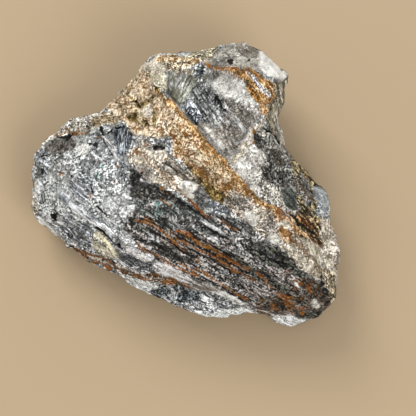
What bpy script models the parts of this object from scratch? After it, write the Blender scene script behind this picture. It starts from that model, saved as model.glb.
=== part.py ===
"""A hand-sized broken lump of black tourmalinated quartz, modelled as one solid stone.

The upper side is surveyed like a small landscape. Places are read across and up a view that
looks down on the stone at 74 degrees from 450 mm away, in millimetres at the depth of the point
looked at, and each has its height above the table. Break lines hold the crests, steps and
grooves; spot heights fill the faces between them.
"""

import math

import bmesh
import bpy
import numpy as np
from mathutils import Vector
from mathutils.geometry import delaunay_2d_cdt

MM = 0.001
NAME = "tourmalinated_quartz"

# Driving dimensions, in millimetres.
LENGTH = 82.0  # greatest width across the stone
VIEW_DISTANCE = 450.0
VIEW_ELEVATION = math.radians(74.0)  # how steeply the surveyed view looks down
VIEW_MIDDLE = (6.16, -6.43)  # survey place at the middle of the view
VIEW_TARGET = (6.43, -9.69, 20.0)  # that place in the stone's own frame

# The hidden side below the rim is the rim drawn in towards a place, ring by ring.
FOOT_MIDDLE = (4.0, -1.5)
UNDER_RINGS = [(0.95, 0.48), (0.81, 0.2)]  # each ring's width and height as shares of the rim's
FOOT_SHARE, FOOT_DEPTH = 0.52, 1.1  # the foot's width, and its reach below the table before the cut

# The tourmaline fibres fan out from a point beyond the lower right tip.
FAN_APEX = (63.0, -45.5)
FAN_SPREAD = 60.0  # width across the fibres of one radian of the fan
FIBRE_STRETCH = 0.3  # facets are this much longer along the fibres

# The broken surface: facet size, and how far its tilt and its step go for each millimetre of it.
COARSE_FACETS = (8.5, 0.12, 0.025)
FINE_FACETS = (4.6, 0.08, 0.02)
FIBRE_FACETS = (4.2, 0.1, 0.07)
HIDDEN_FACETS = (13.0, 0.14, 0.02)
LUMP_SIZE, LUMP_HEIGHT = 13.0, 0.4
GRAIN_SIZE, GRAIN_HEIGHT = 3.4, 0.12

UPPER_EDGE, LOWER_EDGE = 2.8, 4.4  # longest mesh edge above the rim and below it

# The stone's outline, clockwise from the left, as (across, up, height).
RIM = [
    (-39.9, -3, 13), (-39.6, 3, 14), (-39.2, 7.5, 14.5), (-37.5, 10.5, 15), (-34, 13, 16),
    (-30.5, 16.3, 17), (-27, 17.7, 18), (-22.5, 18.5, 19), (-20.3, 20.5, 18), (-17, 24, 18),
    (-14, 26.8, 20), (-12, 30.2, 24), (-9, 33.3, 27), (-4, 34.1, 29), (2, 34.6, 29),
    (8, 35.8, 29), (12, 37, 27), (16.5, 36.7, 26), (19.7, 35, 26), (22, 33, 27),
    (24.5, 30.5, 28), (27, 28, 26), (26.2, 25, 20), (26.4, 21.5, 14), (25.2, 18, 13),
    (24.8, 15.3, 13), (25.9, 12, 14), (26.2, 9.5, 16), (28.5, 6.5, 13), (32, 3.5, 12),
    (35, 0, 12), (37.4, -2, 14), (37.8, -7, 14), (38.6, -11, 12), (39.8, -15, 12),
    (40, -20, 12), (40.1, -26, 11), (39.3, -30, 10), (37.5, -33, 8), (35.5, -35.5, 7),
    (32.5, -36.2, 6), (30, -37.1, 5), (26.5, -36.6, 5), (23.6, -35.6, 5), (22.5, -34.4, 7),
    (18.5, -33.9, 8), (14, -34.6, 8), (8, -35, 8), (4.5, -34.6, 8), (1, -33.5, 8),
    (-3, -31.9, 8), (-6.5, -30.4, 8), (-9.5, -28.8, 8), (-12.5, -27.1, 8), (-16, -24.9, 8),
    (-19, -23.6, 9), (-22, -22.6, 9), (-25.5, -20.6, 9), (-29, -17.9, 9), (-32.5, -15.1, 9),
    (-35.5, -12.6, 10), (-38, -10.3, 11), (-39.3, -8, 12), (-40.1, -6, 12),
]

# Crests, steps and grooves of the upper side.
BREAK_LINES = {
    "iron-stained crest": [
        (-8.3, 25.6, 36), (-5.5, 23.2, 38), (-2, 20.4, 39.5), (2, 15.6, 41), (6, 11.2, 41.5),
        (10, 6.7, 41), (12.8, 3.6, 40.5), (16.5, -0.6, 39), (20, -4.2, 37), (24.5, -6.3, 35),
        (28, -10.8, 32), (31, -16.3, 28.5), (34.5, -21, 24.5), (36.5, -25.5, 20),
    ],
    "foot of the crest in the recess": [
        (-4.7, 24.1, 33.5), (-1.2, 21.2, 33), (2.8, 16.4, 33.5), (6.9, 12.0, 34), (10.6, 7.5, 35),
    ],
    "foot of the crest on the flank": [(13.6, 4.1, 38.6), (17.2, 0.1, 37.6), (20.8, -3.4, 35.7)],
    "groove under the stained slope": [
        (-12.5, 12.3, 33.5), (-8.5, 10.6, 34.5), (-5.5, 9.2, 34.8), (-2, 6.4, 34.3),
        (1.5, 3.4, 33.6), (4, 1.2, 33.6), (7.5, -2.6, 33.4), (11, -5.2, 33.2),
    ],
    "top of the quartz vein": [
        (-13, 8.5, 34.5), (-8, 6.8, 36), (-3, 3, 36.4), (1.5, -0.8, 36.2), (6, -4.5, 35),
        (10, -6.4, 35), (14, -6, 36.5), (17, -9, 35.5), (21, -12.5, 34), (25, -15.5, 32),
        (28.5, -18, 30), (32.5, -22.5, 26),
    ],
    "foot of the quartz vein": [
        (-12.3, 4.2, 34), (-10.5, 1.2, 34.2), (-7, -0.6, 34.2), (-3, -2.6, 34), (0.5, -4.2, 33.8),
        (4, -6.9, 33.4), (8, -8.2, 33.3), (12, -8.4, 33.5), (15.5, -9.8, 33.2), (18.5, -12.8, 32.2),
        (22, -15.3, 31), (26, -18.4, 28.8), (29, -21.5, 26.6), (31.5, -24.2, 24.2), (34.5, -27.5, 20),
    ],
    "edge of the lower face": [
        (-36, -2.5, 22.5), (-31.5, -4, 26.5), (-27, -7, 27.8), (-22.5, -10.5, 27.8), (-19, -14, 27),
        (-14.5, -16.2, 26.6), (-9.5, -18.6, 26), (-5, -20.8, 25.2), (0, -23.6, 23.5),
        (5, -25.4, 22.3), (10, -28, 20.5), (14.5, -30.8, 18), (18.5, -33, 13.5),
    ],
    "open crack": [(-24.2, -11.3, 25.6), (-21.3, -12.9, 24.4), (-18, -15.3, 24), (-14.6, -17.3, 24)],
    "rusty ledge": [
        (-29, -16.3, 13.5), (-25, -18.6, 14), (-20.5, -20.9, 14), (-15, -23.2, 14.3),
        (-9.5, -25.1, 14.5), (-4, -26.3, 15.2), (1, -27.6, 15.6), (6, -28.8, 15.4),
    ],
    "edge of the north-west face": [
        (-38.2, 6.3, 18), (-33.5, 7.4, 22.5), (-29.5, 8.3, 26), (-28.4, 10.6, 26.5),
        (-25, 12.5, 27.5), (-22, 14.8, 28), (-19.8, 15.8, 28.2),
    ],
    "north-west crevice": [(-35.3, 11.7, 15.6), (-31.5, 12.6, 18.6), (-28.3, 13, 20.6), (-25.5, 14.2, 23)],
    "head of the tourmaline prism": [
        (-19.6, 13.3, 29.9), (-17.6, 14.9, 29.4), (-15.2, 15.9, 29.8), (-13.9, 13.6, 31.2),
    ],
    "lip over the prism": [(-18.4, 15.6, 30.4), (-15.9, 16.9, 31)],
    "cream crevice": [
        (-16.3, 18, 27.6), (-12.8, 19.7, 29.4), (-10, 21.5, 31), (-8.3, 23, 33.2),
    ],
    "side of the cream block": [(-5.1, 25.4, 35), (-4.7, 27.5, 35.2), (-4.9, 29.4, 35)],
    "inner edge of the rusty band": [
        (-4.2, 30.1, 34.6), (0.5, 30, 35.8), (4.2, 28.6, 35.6), (6.5, 29.4, 37), (9.8, 28.7, 37.6),
        (13, 27.4, 38), (15.6, 25.2, 37.9), (17, 23.2, 37.6), (19.4, 20.7, 36.8), (20.1, 17.9, 35.6),
    ],
    "outer crest of the rusty band": [
        (-6, 32.7, 34.5), (-1, 33.1, 34.6), (3.5, 31.6, 36.2), (6.7, 30.8, 37.7), (10, 30.3, 38.7),
        (13.5, 30.3, 39.3), (16.5, 30, 39.3), (19, 28.7, 38.3), (21.5, 27, 36.8), (23.6, 25.4, 34.3),
        (22.8, 22.3, 33.4), (21.9, 19.4, 32.6),
    ],
    "corner of the white block": [(19.7, 34, 29.4), (19.9, 30.8, 34)],
    "brow of the white block": [(20.5, 28.9, 35.6), (23.2, 28, 34.2), (25.7, 27.9, 30)],
    "step up to the flank": [
        (11.9, 6.1, 37.8), (13.6, 8.4, 38), (15.8, 11.9, 38), (17.2, 14.5, 37.8), (19, 15.9, 37.2),
        (20.6, 16.6, 35.6),
    ],
    "foot of the flank's step": [
        (11.2, 7.0, 35.2), (12.9, 9.1, 35.3), (15, 12.5, 35.6), (16.4, 15.2, 35.8), (18.5, 16.8, 35.5),
    ],
    "outer edge of the flank": [
        (21.3, 15.6, 34), (22.6, 13.3, 33), (24, 10.8, 31), (26.2, 7.4, 28), (27.6, 4.5, 26.5),
        (28.8, 1, 25.5), (29.6, -3, 26), (30.5, -7, 27),
    ],
    "low eastern ledge": [(30.8, 3.2, 17.5), (32.2, -0.6, 18.5), (34.8, -3.2, 17.5), (35, -7.5, 18)],
    "shelf beside the tip": [(36.8, -12.5, 17), (37.6, -17, 16.5), (37.9, -22, 15.6), (38.2, -27, 14)],
    "seam over the white sliver": [(23.8, -34.9, 8.4), (27, -35.2, 8), (31, -35.4, 7.6)],
}

# Spot heights on the faces between the break lines.
SPOT_HEIGHTS = [
    # streaked tourmaline face
    (-12, -3, 33.4), (-13, -9, 31.2), (-5, -9, 32.2), (2, -12, 31.8), (8, -14, 31.2),
    (-7, -15, 29.4), (0, -17.5, 29), (14, -17, 29.8), (9, -21, 27.2), (20, -20.5, 28),
    (17, -25.5, 24.5), (25, -25, 24), (22, -30, 19.4), (28, -30, 19.3), (33, -30.5, 16.5),
    # pale granular lobe on the left
    (-20, -4, 32.2), (-22, 3, 32), (-17, 4, 33.4), (-26, -1, 30.6), (-30, 3, 28), (-26, 7.5, 29),
    (-21, 9, 31), (-35, 3, 22.5), (-37.6, -0.5, 18.5), (-37.2, -6.5, 17.5), (-17, 8.6, 32.8),
    # north-west face
    (-36, 9.7, 17), (-32.5, 10.3, 20.5), (-29, 15.2, 19.5), (-24.5, 16.6, 22.4), (-20.5, 18.2, 22.6),
    # lower south-west face
    (-33.5, -8.5, 20.5), (-29.5, -10, 23.2), (-28, -14, 18.5), (-23.2, -14.2, 25), (-24.2, -17, 18),
    (-19.6, -17.8, 22), (-16.8, -20.4, 18.6), (-11.5, -21, 20), (-8.2, -22.4, 19.4), (-3.4, -24, 20),
    # pale foot
    (-12, -26, 10.5), (-2, -29.8, 11), (4, -32, 10.5), (10, -31.6, 12.2), (14.5, -33.2, 9.6),
    # stained slope and cream corner
    (-8, 14.6, 34.6), (-9.4, 17.8, 35), (-12.2, 15.9, 32.6), (-3.2, 14.5, 38), (-5.6, 18.6, 37.3),
    (1.4, 9.5, 38.2), (6, 4.6, 38), (11, -0.6, 37.4), (14.5, -3.2, 37.2), (-12.4, 23, 29.6),
    (-15.4, 21.6, 26.2), (-17.6, 20, 24.6), (-10.8, 26.6, 29.5), (-9.4, 30.4, 30.5), (-7.2, 27.8, 34.4),
    # recess
    (-3, 23.6, 32.6), (-2.3, 26.5, 33), (0.4, 24.4, 33.6), (-1.6, 29, 34.4), (2.6, 26.2, 34.8),
    (4.5, 21.5, 34.2), (8.6, 17.2, 34.8), (9, 22.8, 35.8), (7, 26.4, 36.2), (12.4, 24.6, 36.8),
    (14.6, 20.4, 36.3), (17.4, 18.6, 36), (12.4, 15.2, 35.4), (9.8, 12, 34.8),
    # face behind the band, and the white block
    (3, 33.6, 33.4), (7.4, 32.8, 34.4), (10.4, 34, 32.6), (14, 33.8, 32.6), (17.4, 32.4, 34),
    (22.2, 31, 33.2), (24.2, 29.2, 32.2), (23.9, 26.8, 30.5), (24.9, 23.6, 23), (24.2, 20.8, 21.5),
    (23.2, 17.6, 22.5), (24.2, 14.4, 19),
    # flank
    (16, 7.6, 38.3), (19, 11.6, 36.8), (17.4, 3.2, 38), (21, 7.4, 35.4), (22, 2.6, 34.6),
    (25, 4.4, 31.4), (25.4, 0, 31), (24.4, -3.6, 32.6), (27.4, -5.6, 30),
    # east side
    (28.6, 5, 19.5), (32.4, -9, 23), (34.2, -12.8, 20.5), (33.6, -16.4, 23), (36.2, -20.4, 19.6),
    (36.6, -7, 15.5), (36.9, -29.6, 12.6), (33.4, -33.4, 10.4), (28.6, -33.8, 10.6),
]

# Lesser ridges and grooves, as places on those faces and how far they stand out or are sunk.
RELIEF_LINES = {
    "upper rust seam": (-0.6, [(-11.5, -9.8), (-8, -11.6), (-4.4, -13.5)]),
    "main rust seam": (-0.7, [(-1, -12.4), (4, -15.5), (10, -19), (16, -22), (22, -26), (25.5, -28.6)]),
    "second rust seam": (-0.6, [(-5, -15.6), (0, -18.3), (6, -20.8), (12, -24.3), (17, -27.6)]),
    "lamella between the seams": (0.5, [(-3, -14.2), (2, -16.6), (8, -19.8), (14, -23.2), (19, -26.5)]),
    "lamella over the main seam": (0.5, [(1, -12), (7, -15.2), (13, -18.6), (19, -22), (25, -26.4)]),
    "black crack": (-0.7, [(3.6, -10.6), (8, -13), (13, -16), (17.5, -18.6)]),
    "lamella beside the dark band": (0.5, [(8, -11), (13, -13.4), (18, -17), (23, -21), (28, -26)]),
    "dark groove": (-0.7, [(20, -16.5), (24, -19.5), (28, -23.6), (31.4, -27.6)]),
    "crack in the pale lobe": (-0.7, [(-30, 1.2), (-26.4, -1), (-24.6, -4)]),
    "rib across the pale lobe": (0.6, [(-24, -6), (-17.5, -8.4), (-13.6, -11.2)]),
    "groove under the lens": (-0.8, [(-17.4, -19.2), (-13, -19.7), (-9.2, -20.8), (-6, -22.6)]),
    "dark stripe": (-0.6, [(-35.2, -7), (-30.8, -9.2), (-27.4, -12.6), (-25.6, -16)]),
    "pale foot's groove": (-0.5, [(-9, -27.2), (-4, -28.6), (1, -30.2), (6, -31.2)]),
    "crack in the stained slope": (-0.8, [(-3.4, 13), (-1.8, 10), (0.2, 7.4)]),
    "rib of the stained slope": (0.7, [(1.2, 12.6), (4.2, 8.6), (8.4, 3.8), (12.4, 0)]),
    "needles in the recess": (-0.6, [(5.6, 25.2), (7.4, 22.6), (9.3, 19.6)]),
    "edge in the recess": (0.5, [(11.4, 17.6), (14, 19), (16.4, 21.6)]),
    "edge across the flank": (0.6, [(19.6, 13.2), (19.4, 8.4), (19.2, 4), (20.2, 0)]),
    "eastern crack": (-0.8, [(28.9, -8.6), (31.6, -11), (34.4, -14)]),
    "rusty line in the vein": (-0.6, [(27, -13.6), (30, -17.3), (33.3, -21.6), (35, -25.2)]),
}

END_SHARE = 0.35  # how much of its height a relief line still has at its two ends


def smoothstep(low, high, value):
    """0 below low, 1 above high, and an S-shaped rise between."""
    share = np.clip((value - low) / (high - low), 0, 1)
    return share * share * (3 - 2 * share)


def place(across, up, height):
    """The point in the stone's own frame that the view shows at (across, up) at that height."""
    right, over = across - VIEW_MIDDLE[0], up - VIEW_MIDDLE[1]
    drop = VIEW_DISTANCE * math.sin(VIEW_ELEVATION)
    run = VIEW_DISTANCE * math.cos(VIEW_ELEVATION)
    share = (VIEW_TARGET[2] + drop - height) / (drop - over * math.cos(VIEW_ELEVATION))
    x = VIEW_TARGET[0] + share * right
    y = VIEW_TARGET[1] - run + share * (run + over * math.sin(VIEW_ELEVATION))
    return Vector((x, y, height)) * MM


def survey_of(points):
    """(across, up) of points in metres: the reverse of place()."""
    x, y, z = (points / MM - VIEW_TARGET).T
    depth = VIEW_DISTANCE + y * math.cos(VIEW_ELEVATION) - z * math.sin(VIEW_ELEVATION)
    above = y * math.sin(VIEW_ELEVATION) + z * math.cos(VIEW_ELEVATION)
    across = VIEW_MIDDLE[0] + x * VIEW_DISTANCE / depth
    up = VIEW_MIDDLE[1] + above * VIEW_DISTANCE / depth
    return across, up


def sheet(surveyed, lines):
    """Triangles between surveyed points, with every line kept as an edge. The first line is the outline."""
    flat = [Vector(point[:2]) for point in surveyed]
    edges = [pair for line in lines for pair in zip(line, line[1:])]
    _, _, faces, origins, _, _ = delaunay_2d_cdt(flat, edges, [], 1, 1e-5)
    return [tuple(origins[corner][0] for corner in face) for face in faces]


def height_at(surveyed, faces, across, up):
    """The height of the surveyed surface at a place, from the triangle that holds it."""
    for face in faces:
        (ax, ay, az), (bx, by, bz), (cx, cy, cz) = (surveyed[corner] for corner in face)
        area = (bx - ax) * (cy - ay) - (cx - ax) * (by - ay)
        toward_b = ((across - ax) * (cy - ay) - (cx - ax) * (up - ay)) / area
        toward_c = ((bx - ax) * (up - ay) - (across - ax) * (by - ay)) / area
        if min(toward_b, toward_c, 1 - toward_b - toward_c) > -1e-9:
            return az + (bz - az) * toward_b + (cz - az) * toward_c
    raise ValueError(f"({across}, {up}) lies outside the outline")


def numbered(groups, first):
    """Indices of each group's points when the groups are listed one after another."""
    lines = []
    for group in groups:
        lines.append(list(range(first, first + len(group))))
        first += len(group)
    return lines


def inset(point, share, height):
    """A rim point drawn in towards the stone's middle, at another height."""
    across, up = (FOOT_MIDDLE[axis] + (point[axis] - FOOT_MIDDLE[axis]) * share for axis in (0, 1))
    return across, up, height


def rough_block():
    """The closed block between the surveyed upper side and the underside, which share the rim."""
    rim_loop = list(range(len(RIM))) + [0]

    upper = list(RIM)
    for line in BREAK_LINES.values():
        upper += line
    upper_lines = [rim_loop] + numbered(BREAK_LINES.values(), len(RIM))
    upper += SPOT_HEIGHTS
    faces = sheet(upper, upper_lines)
    relief = []
    for raised, line in RELIEF_LINES.values():
        shares = [END_SHARE] + [1] * (len(line) - 2) + [END_SHARE]
        relief.append([
            (across, up, height_at(upper, faces, across, up) + raised * share)
            for (across, up), share in zip(line, shares)
        ])
    upper_lines += numbered(relief, len(upper))
    upper += [point for line in relief for point in line]

    rings = [list(RIM)]
    for width, rise in UNDER_RINGS:
        rings.append([inset(point, width, point[2] * rise) for point in RIM])
    rings.append([inset(point, FOOT_SHARE, -FOOT_DEPTH) for point in RIM[::3]])
    lower = [point for ring in rings for point in ring]
    lower_lines = [line + line[:1] for line in numbered(rings, 0)]

    mesh = bmesh.new()
    rim_vertices = [mesh.verts.new(place(*point)) for point in RIM]
    for points, lines, faces_up in (
        (upper, upper_lines, True),
        (lower, lower_lines, False),
    ):
        vertices = rim_vertices + [mesh.verts.new(place(*point)) for point in points[len(RIM):]]
        for face in sheet(points, lines):
            corners = [vertices[index] for index in face]
            mesh.faces.new(corners if faces_up else corners[::-1])
    bmesh.ops.recalc_face_normals(mesh, faces=mesh.faces)
    return mesh


def refine(mesh):
    """Halves every long edge until none is left. The break lines stay sharp."""
    while True:
        upper = {edge for face in mesh.faces if face.normal.z > 0 for edge in face.edges}
        long_edges = [
            edge for edge in mesh.edges
            if edge.calc_length() > (UPPER_EDGE if edge in upper else LOWER_EDGE) * MM
        ]
        if not long_edges:
            return
        bmesh.ops.subdivide_edges(mesh, edges=long_edges, cuts=1)
        bmesh.ops.triangulate(mesh, faces=mesh.faces)


def random_at(cells, seed):
    """A repeatable number from -1 to 1 for each cell of a cubic lattice."""
    x, y, z = cells.T
    mixed = (x * 73856093) ^ (y * 19349663) ^ (z * 83492791) ^ (seed * 2654435761)
    mixed = (mixed ^ (mixed >> 13)) * 1274126177 % 4294967296
    mixed = (mixed ^ (mixed >> 15)) * 2246822519 % 4294967296
    return mixed / 2147483648.0 - 1.0


def lattice_noise(points, wavelength, seed):
    """Smooth noise from -1 to 1: random values on a cubic lattice, blended between its corners."""
    scaled = points / (wavelength * MM)
    cells = np.floor(scaled).astype(np.int64)
    share = scaled - cells
    share = share * share * share * (share * (share * 6 - 15) + 10)
    total = np.zeros(len(points))
    for corner in np.ndindex(2, 2, 2):
        weight = np.prod(np.where(np.array(corner) == 1, share, 1 - share), axis=1)
        total += random_at(cells + corner, seed) * weight
    return total


def broken_facets(points, facets, seed):
    """Heights in millimetres of a surface broken into flat facets, each tilted and stepped at random."""
    size, tilt, step = facets
    scaled = points / (size * MM)
    cells = np.floor(scaled).astype(np.int64)
    nearest = np.full(len(points), np.inf)
    height = np.zeros(len(points))
    for corner in np.ndindex(3, 3, 3):
        neighbour = cells + corner - 1
        jitter = np.stack([random_at(neighbour, seed + axis) for axis in (1, 2, 3)], axis=1)
        slope = np.stack([random_at(neighbour, seed + axis) for axis in (4, 5, 6)], axis=1)
        offset = scaled - (neighbour + 0.5 + 0.42 * jitter)
        distance = (offset * offset).sum(axis=1)
        facet = tilt * (offset * slope).sum(axis=1) + step * random_at(neighbour, seed + 7)
        height = np.where(distance < nearest, facet, height)
        nearest = np.minimum(distance, nearest)
    return height * size


def beside(across, up, line):
    """Distance to a break line, positive on the side to the left of its direction."""
    nearest = np.full(len(across), np.inf)
    side = np.zeros(len(across))
    for (ax, ay, *_), (bx, by, *_) in zip(line, line[1:]):
        dx, dy = bx - ax, by - ay
        share = np.clip(((across - ax) * dx + (up - ay) * dy) / (dx * dx + dy * dy), 0, 1)
        gap = np.hypot(across - ax - share * dx, up - ay - share * dy)
        turn = np.sign(dx * (up - ay) - dy * (across - ax))
        closer = gap < nearest
        nearest = np.where(closer, gap, nearest)
        side = np.where(closer, turn, side)
    return nearest * side


def weathered(points, normals):
    """Each point moved along its normal by the stone's lumps, fibres and coarse grain, in metres."""
    across, up = survey_of(points)
    upper_side = smoothstep(-0.2, 0.3, normals[:, 2])
    from_vein = -beside(across, up, BREAK_LINES["foot of the quartz vein"])
    from_crest = beside(across, up, BREAK_LINES["iron-stained crest"])

    streaked = smoothstep(0, 3, from_vein) * smoothstep(-24, -10, across + 0.35 * up) * upper_side
    in_recess = smoothstep(0, 2, from_crest) * smoothstep(8, 14, up) * upper_side
    grainy = smoothstep(0, 2, -from_crest) * smoothstep(0, 2, -from_vein) * upper_side

    fan = np.arctan2(up - FAN_APEX[1], FAN_APEX[0] - across)
    reach = np.hypot(up - FAN_APEX[1], FAN_APEX[0] - across)
    along_fibres = np.stack([reach * FIBRE_STRETCH, fan * FAN_SPREAD, points[:, 2] / MM * 0.6], axis=1) * MM
    quiet = 1 - 0.65 * in_recess

    moved = LUMP_HEIGHT * lattice_noise(points, LUMP_SIZE, 1) * quiet
    moved += broken_facets(points, COARSE_FACETS, 10) * quiet * (1 - 0.8 * streaked)
    moved += broken_facets(points, FINE_FACETS, 20) * quiet * (1 - 0.5 * streaked)
    moved += broken_facets(along_fibres, FIBRE_FACETS, 30) * streaked
    moved += broken_facets(points, HIDDEN_FACETS, 40) * (1 - upper_side)
    moved += GRAIN_HEIGHT * lattice_noise(points, GRAIN_SIZE, 3) * (0.5 + 0.8 * grainy)

    # The outline and the foot keep their surveyed places.
    rim = np.array([place(*point) for point in RIM])
    from_rim = np.linalg.norm(points[:, None] - rim[None], axis=2).min(axis=1) / MM
    moved *= 0.4 + 0.6 * smoothstep(1.5, 5, from_rim)
    moved *= 0.3 + 0.7 * smoothstep(1, 7, points[:, 2] / MM)
    return points + normals * (moved * MM)[:, None]


def stone_material():
    """Broken quartz: mid grey, neither dull nor polished."""
    material = bpy.data.materials.new("broken_quartz")
    material.use_nodes = True
    shader = material.node_tree.nodes["Principled BSDF"]
    shader.inputs["Base Color"].default_value = (0.21, 0.2, 0.18, 1)
    shader.inputs["Roughness"].default_value = 0.55
    shader.inputs["Metallic"].default_value = 0.0
    return material


def build_stone(collection):
    block = rough_block()
    refine(block)
    mesh = bpy.data.meshes.new(NAME)
    block.to_mesh(mesh)
    block.free()

    points = np.empty(len(mesh.vertices) * 3)
    normals = np.empty(len(mesh.vertices) * 3)
    mesh.vertices.foreach_get("co", points)
    mesh.vertices.foreach_get("normal", normals)
    moved = weathered(points.reshape(-1, 3), normals.reshape(-1, 3))
    mesh.vertices.foreach_set("co", moved.ravel())
    mesh.update()

    stone = bpy.data.objects.new(NAME, mesh)
    stone.data.materials.append(stone_material())
    collection.objects.link(stone)
    return stone


def cut_flat(stone, cutters):
    """Takes off what is below the table, which leaves the flat fracture that the stone rests on."""
    thickness = 20 * MM
    bpy.ops.mesh.primitive_cube_add(size=1, location=(0, 0, -thickness / 2))
    table = bpy.context.object
    table.name = "table_cutter"
    table.dimensions = (3 * LENGTH * MM, 3 * LENGTH * MM, thickness)
    bpy.ops.object.transform_apply(location=False, rotation=False, scale=True)
    for collection in table.users_collection:
        collection.objects.unlink(table)
    cutters.objects.link(table)
    table.hide_render = True
    table.display_type = "WIRE"
    cut = stone.modifiers.new("flat underside", "BOOLEAN")
    cut.operation = "DIFFERENCE"
    cut.object = table


def main():
    for existing in list(bpy.data.objects):
        bpy.data.objects.remove(existing)
    stone_collection = bpy.data.collections.new(NAME)
    cutters = bpy.data.collections.new("cutters")
    for collection in (stone_collection, cutters):
        bpy.context.scene.collection.children.link(collection)
    stone = build_stone(stone_collection)
    cut_flat(stone, cutters)


main()
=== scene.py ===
# The looks of a broken lump of black tourmalinated quartz, made as one skin over its solid stone.
# Places on the stone are (across, up) in millimetres, seen by a viewer who looks steeply down on it.
import math

import bpy
import numpy as np
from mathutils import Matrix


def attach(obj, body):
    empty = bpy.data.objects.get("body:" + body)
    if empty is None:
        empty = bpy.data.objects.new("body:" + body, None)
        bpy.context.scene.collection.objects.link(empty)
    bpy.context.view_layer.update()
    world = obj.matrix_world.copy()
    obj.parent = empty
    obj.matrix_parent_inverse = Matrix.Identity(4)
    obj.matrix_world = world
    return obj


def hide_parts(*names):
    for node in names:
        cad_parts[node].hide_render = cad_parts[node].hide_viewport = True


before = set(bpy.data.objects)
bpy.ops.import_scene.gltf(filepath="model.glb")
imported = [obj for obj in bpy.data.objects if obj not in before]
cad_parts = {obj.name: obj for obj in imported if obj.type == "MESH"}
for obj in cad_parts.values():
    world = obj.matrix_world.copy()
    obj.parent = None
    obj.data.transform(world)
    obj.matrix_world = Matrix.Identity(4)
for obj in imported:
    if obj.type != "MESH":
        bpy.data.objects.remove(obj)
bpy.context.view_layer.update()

mm = 0.001

# How the stone is looked at: this sets the camera, and every place that is painted.
view = {
    "distance": 450.0,  # from the viewer to the target
    "elevation": math.radians(74.0),
    "middle": (6.16, -6.43),  # the place at the middle of the picture
    "target": (6.43, -9.69, 20.0),  # that place in the stone's own frame
    "width": 109.1,  # how much of the table the picture spans at the target
}


def placesOf(points):
    # Places seen by the viewer: each point's offset from the target, scaled by distance over depth.
    x, y, z = (points / mm - view["target"]).T
    sine, cosine = math.sin(view["elevation"]), math.cos(view["elevation"])
    depth = view["distance"] + y * cosine - z * sine
    across = view["middle"][0] + x * view["distance"] / depth
    up = view["middle"][1] + (y * sine + z * cosine) * view["distance"] / depth
    return across, up


def smoothstep(low, high, value):
    share = np.clip((value - low) / (high - low), 0, 1)
    return share * share * (3 - 2 * share)


def linear(code):
    # sRGB hex code to linear colour.
    values = np.array([int(code[i:i + 2], 16) / 255 for i in (0, 2, 4)])
    return np.where(values <= 0.04045, values / 12.92, ((values + 0.055) / 1.055) ** 2.4)


def randomAt(cells, seed):
    # A repeatable number from -1 to 1 for each cell of a cubic lattice.
    x, y, z = cells.T
    mixed = (x * 73856093) ^ (y * 19349663) ^ (z * 83492791) ^ (seed * 2654435761)
    mixed = (mixed ^ (mixed >> 13)) * 1274126177 % 4294967296
    mixed = (mixed ^ (mixed >> 15)) * 2246822519 % 4294967296
    return mixed / 2147483648.0 - 1.0


def cloudNoise(points, size, seed):
    # Smooth noise: random values on a lattice of that size, blended between its eight corners.
    scaled = points / size
    cells = np.floor(scaled).astype(np.int64)
    share = scaled - cells
    share = share * share * share * (share * (share * 6 - 15) + 10)
    total = np.zeros(len(points))
    for corner in np.ndindex(2, 2, 2):
        weight = np.prod(np.where(np.array(corner) == 1, share, 1 - share), axis=1)
        total += randomAt(cells + corner, seed) * weight
    return total


def chips(points, size, seed):
    # Broken chips: cell centres are jittered by up to 0.42 of a cell. For each point the nearest centre
    # gives a tilted plane (slope times offset), one random number for the whole chip, how close the
    # chip's edge is (1 on it, 0 inside), from the gap between the two nearest centres, and the offset.
    scaled = points / size
    cells = np.floor(scaled).astype(np.int64)
    nearest = np.full(len(points), np.inf)
    second = np.full(len(points), np.inf)
    plane = np.zeros(len(points))
    chip = np.zeros(len(points))
    offsets = np.zeros_like(points)
    for corner in np.ndindex(3, 3, 3):
        neighbour = cells + corner - 1
        jitter = np.stack([randomAt(neighbour, seed + k) for k in (1, 2, 3)], axis=1)
        offset = scaled - (neighbour + 0.5 + 0.42 * jitter)
        distance = np.sqrt((offset * offset).sum(axis=1))
        closer = distance < nearest
        second = np.where(closer, nearest, np.minimum(second, distance))
        slope = np.stack([randomAt(neighbour[closer], seed + k) for k in (4, 5, 6)], axis=1)
        plane[closer] = (offset[closer] * slope).sum(axis=1)
        chip[closer] = randomAt(neighbour[closer], seed + 7)
        offsets[closer] = offset[closer] * size
        nearest[closer] = distance[closer]
    return plane, chip, smoothstep(0.3, 0.0, second - nearest), offsets


# The skin starts as a ball of six square grids, which is shrunk onto the solid. The rays that it shrinks
# along meet at one place inside the stone. They are spread over an egg about as big as the stone, so that
# the squares come out alike.
skin = {
    "steps": 129,  # squares along each side of the six grids
    "rayMiddle": np.array((2.0, -1.0, 13.0)) * mm,
    "aimMiddle": np.array((0.0, 0.0, 20.0)) * mm,  # the egg's middle, and its half sizes
    "aimHalf": np.array((41.0, 38.0, 21.0)) * mm,
    "ballRadius": 70 * mm,
}


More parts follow.
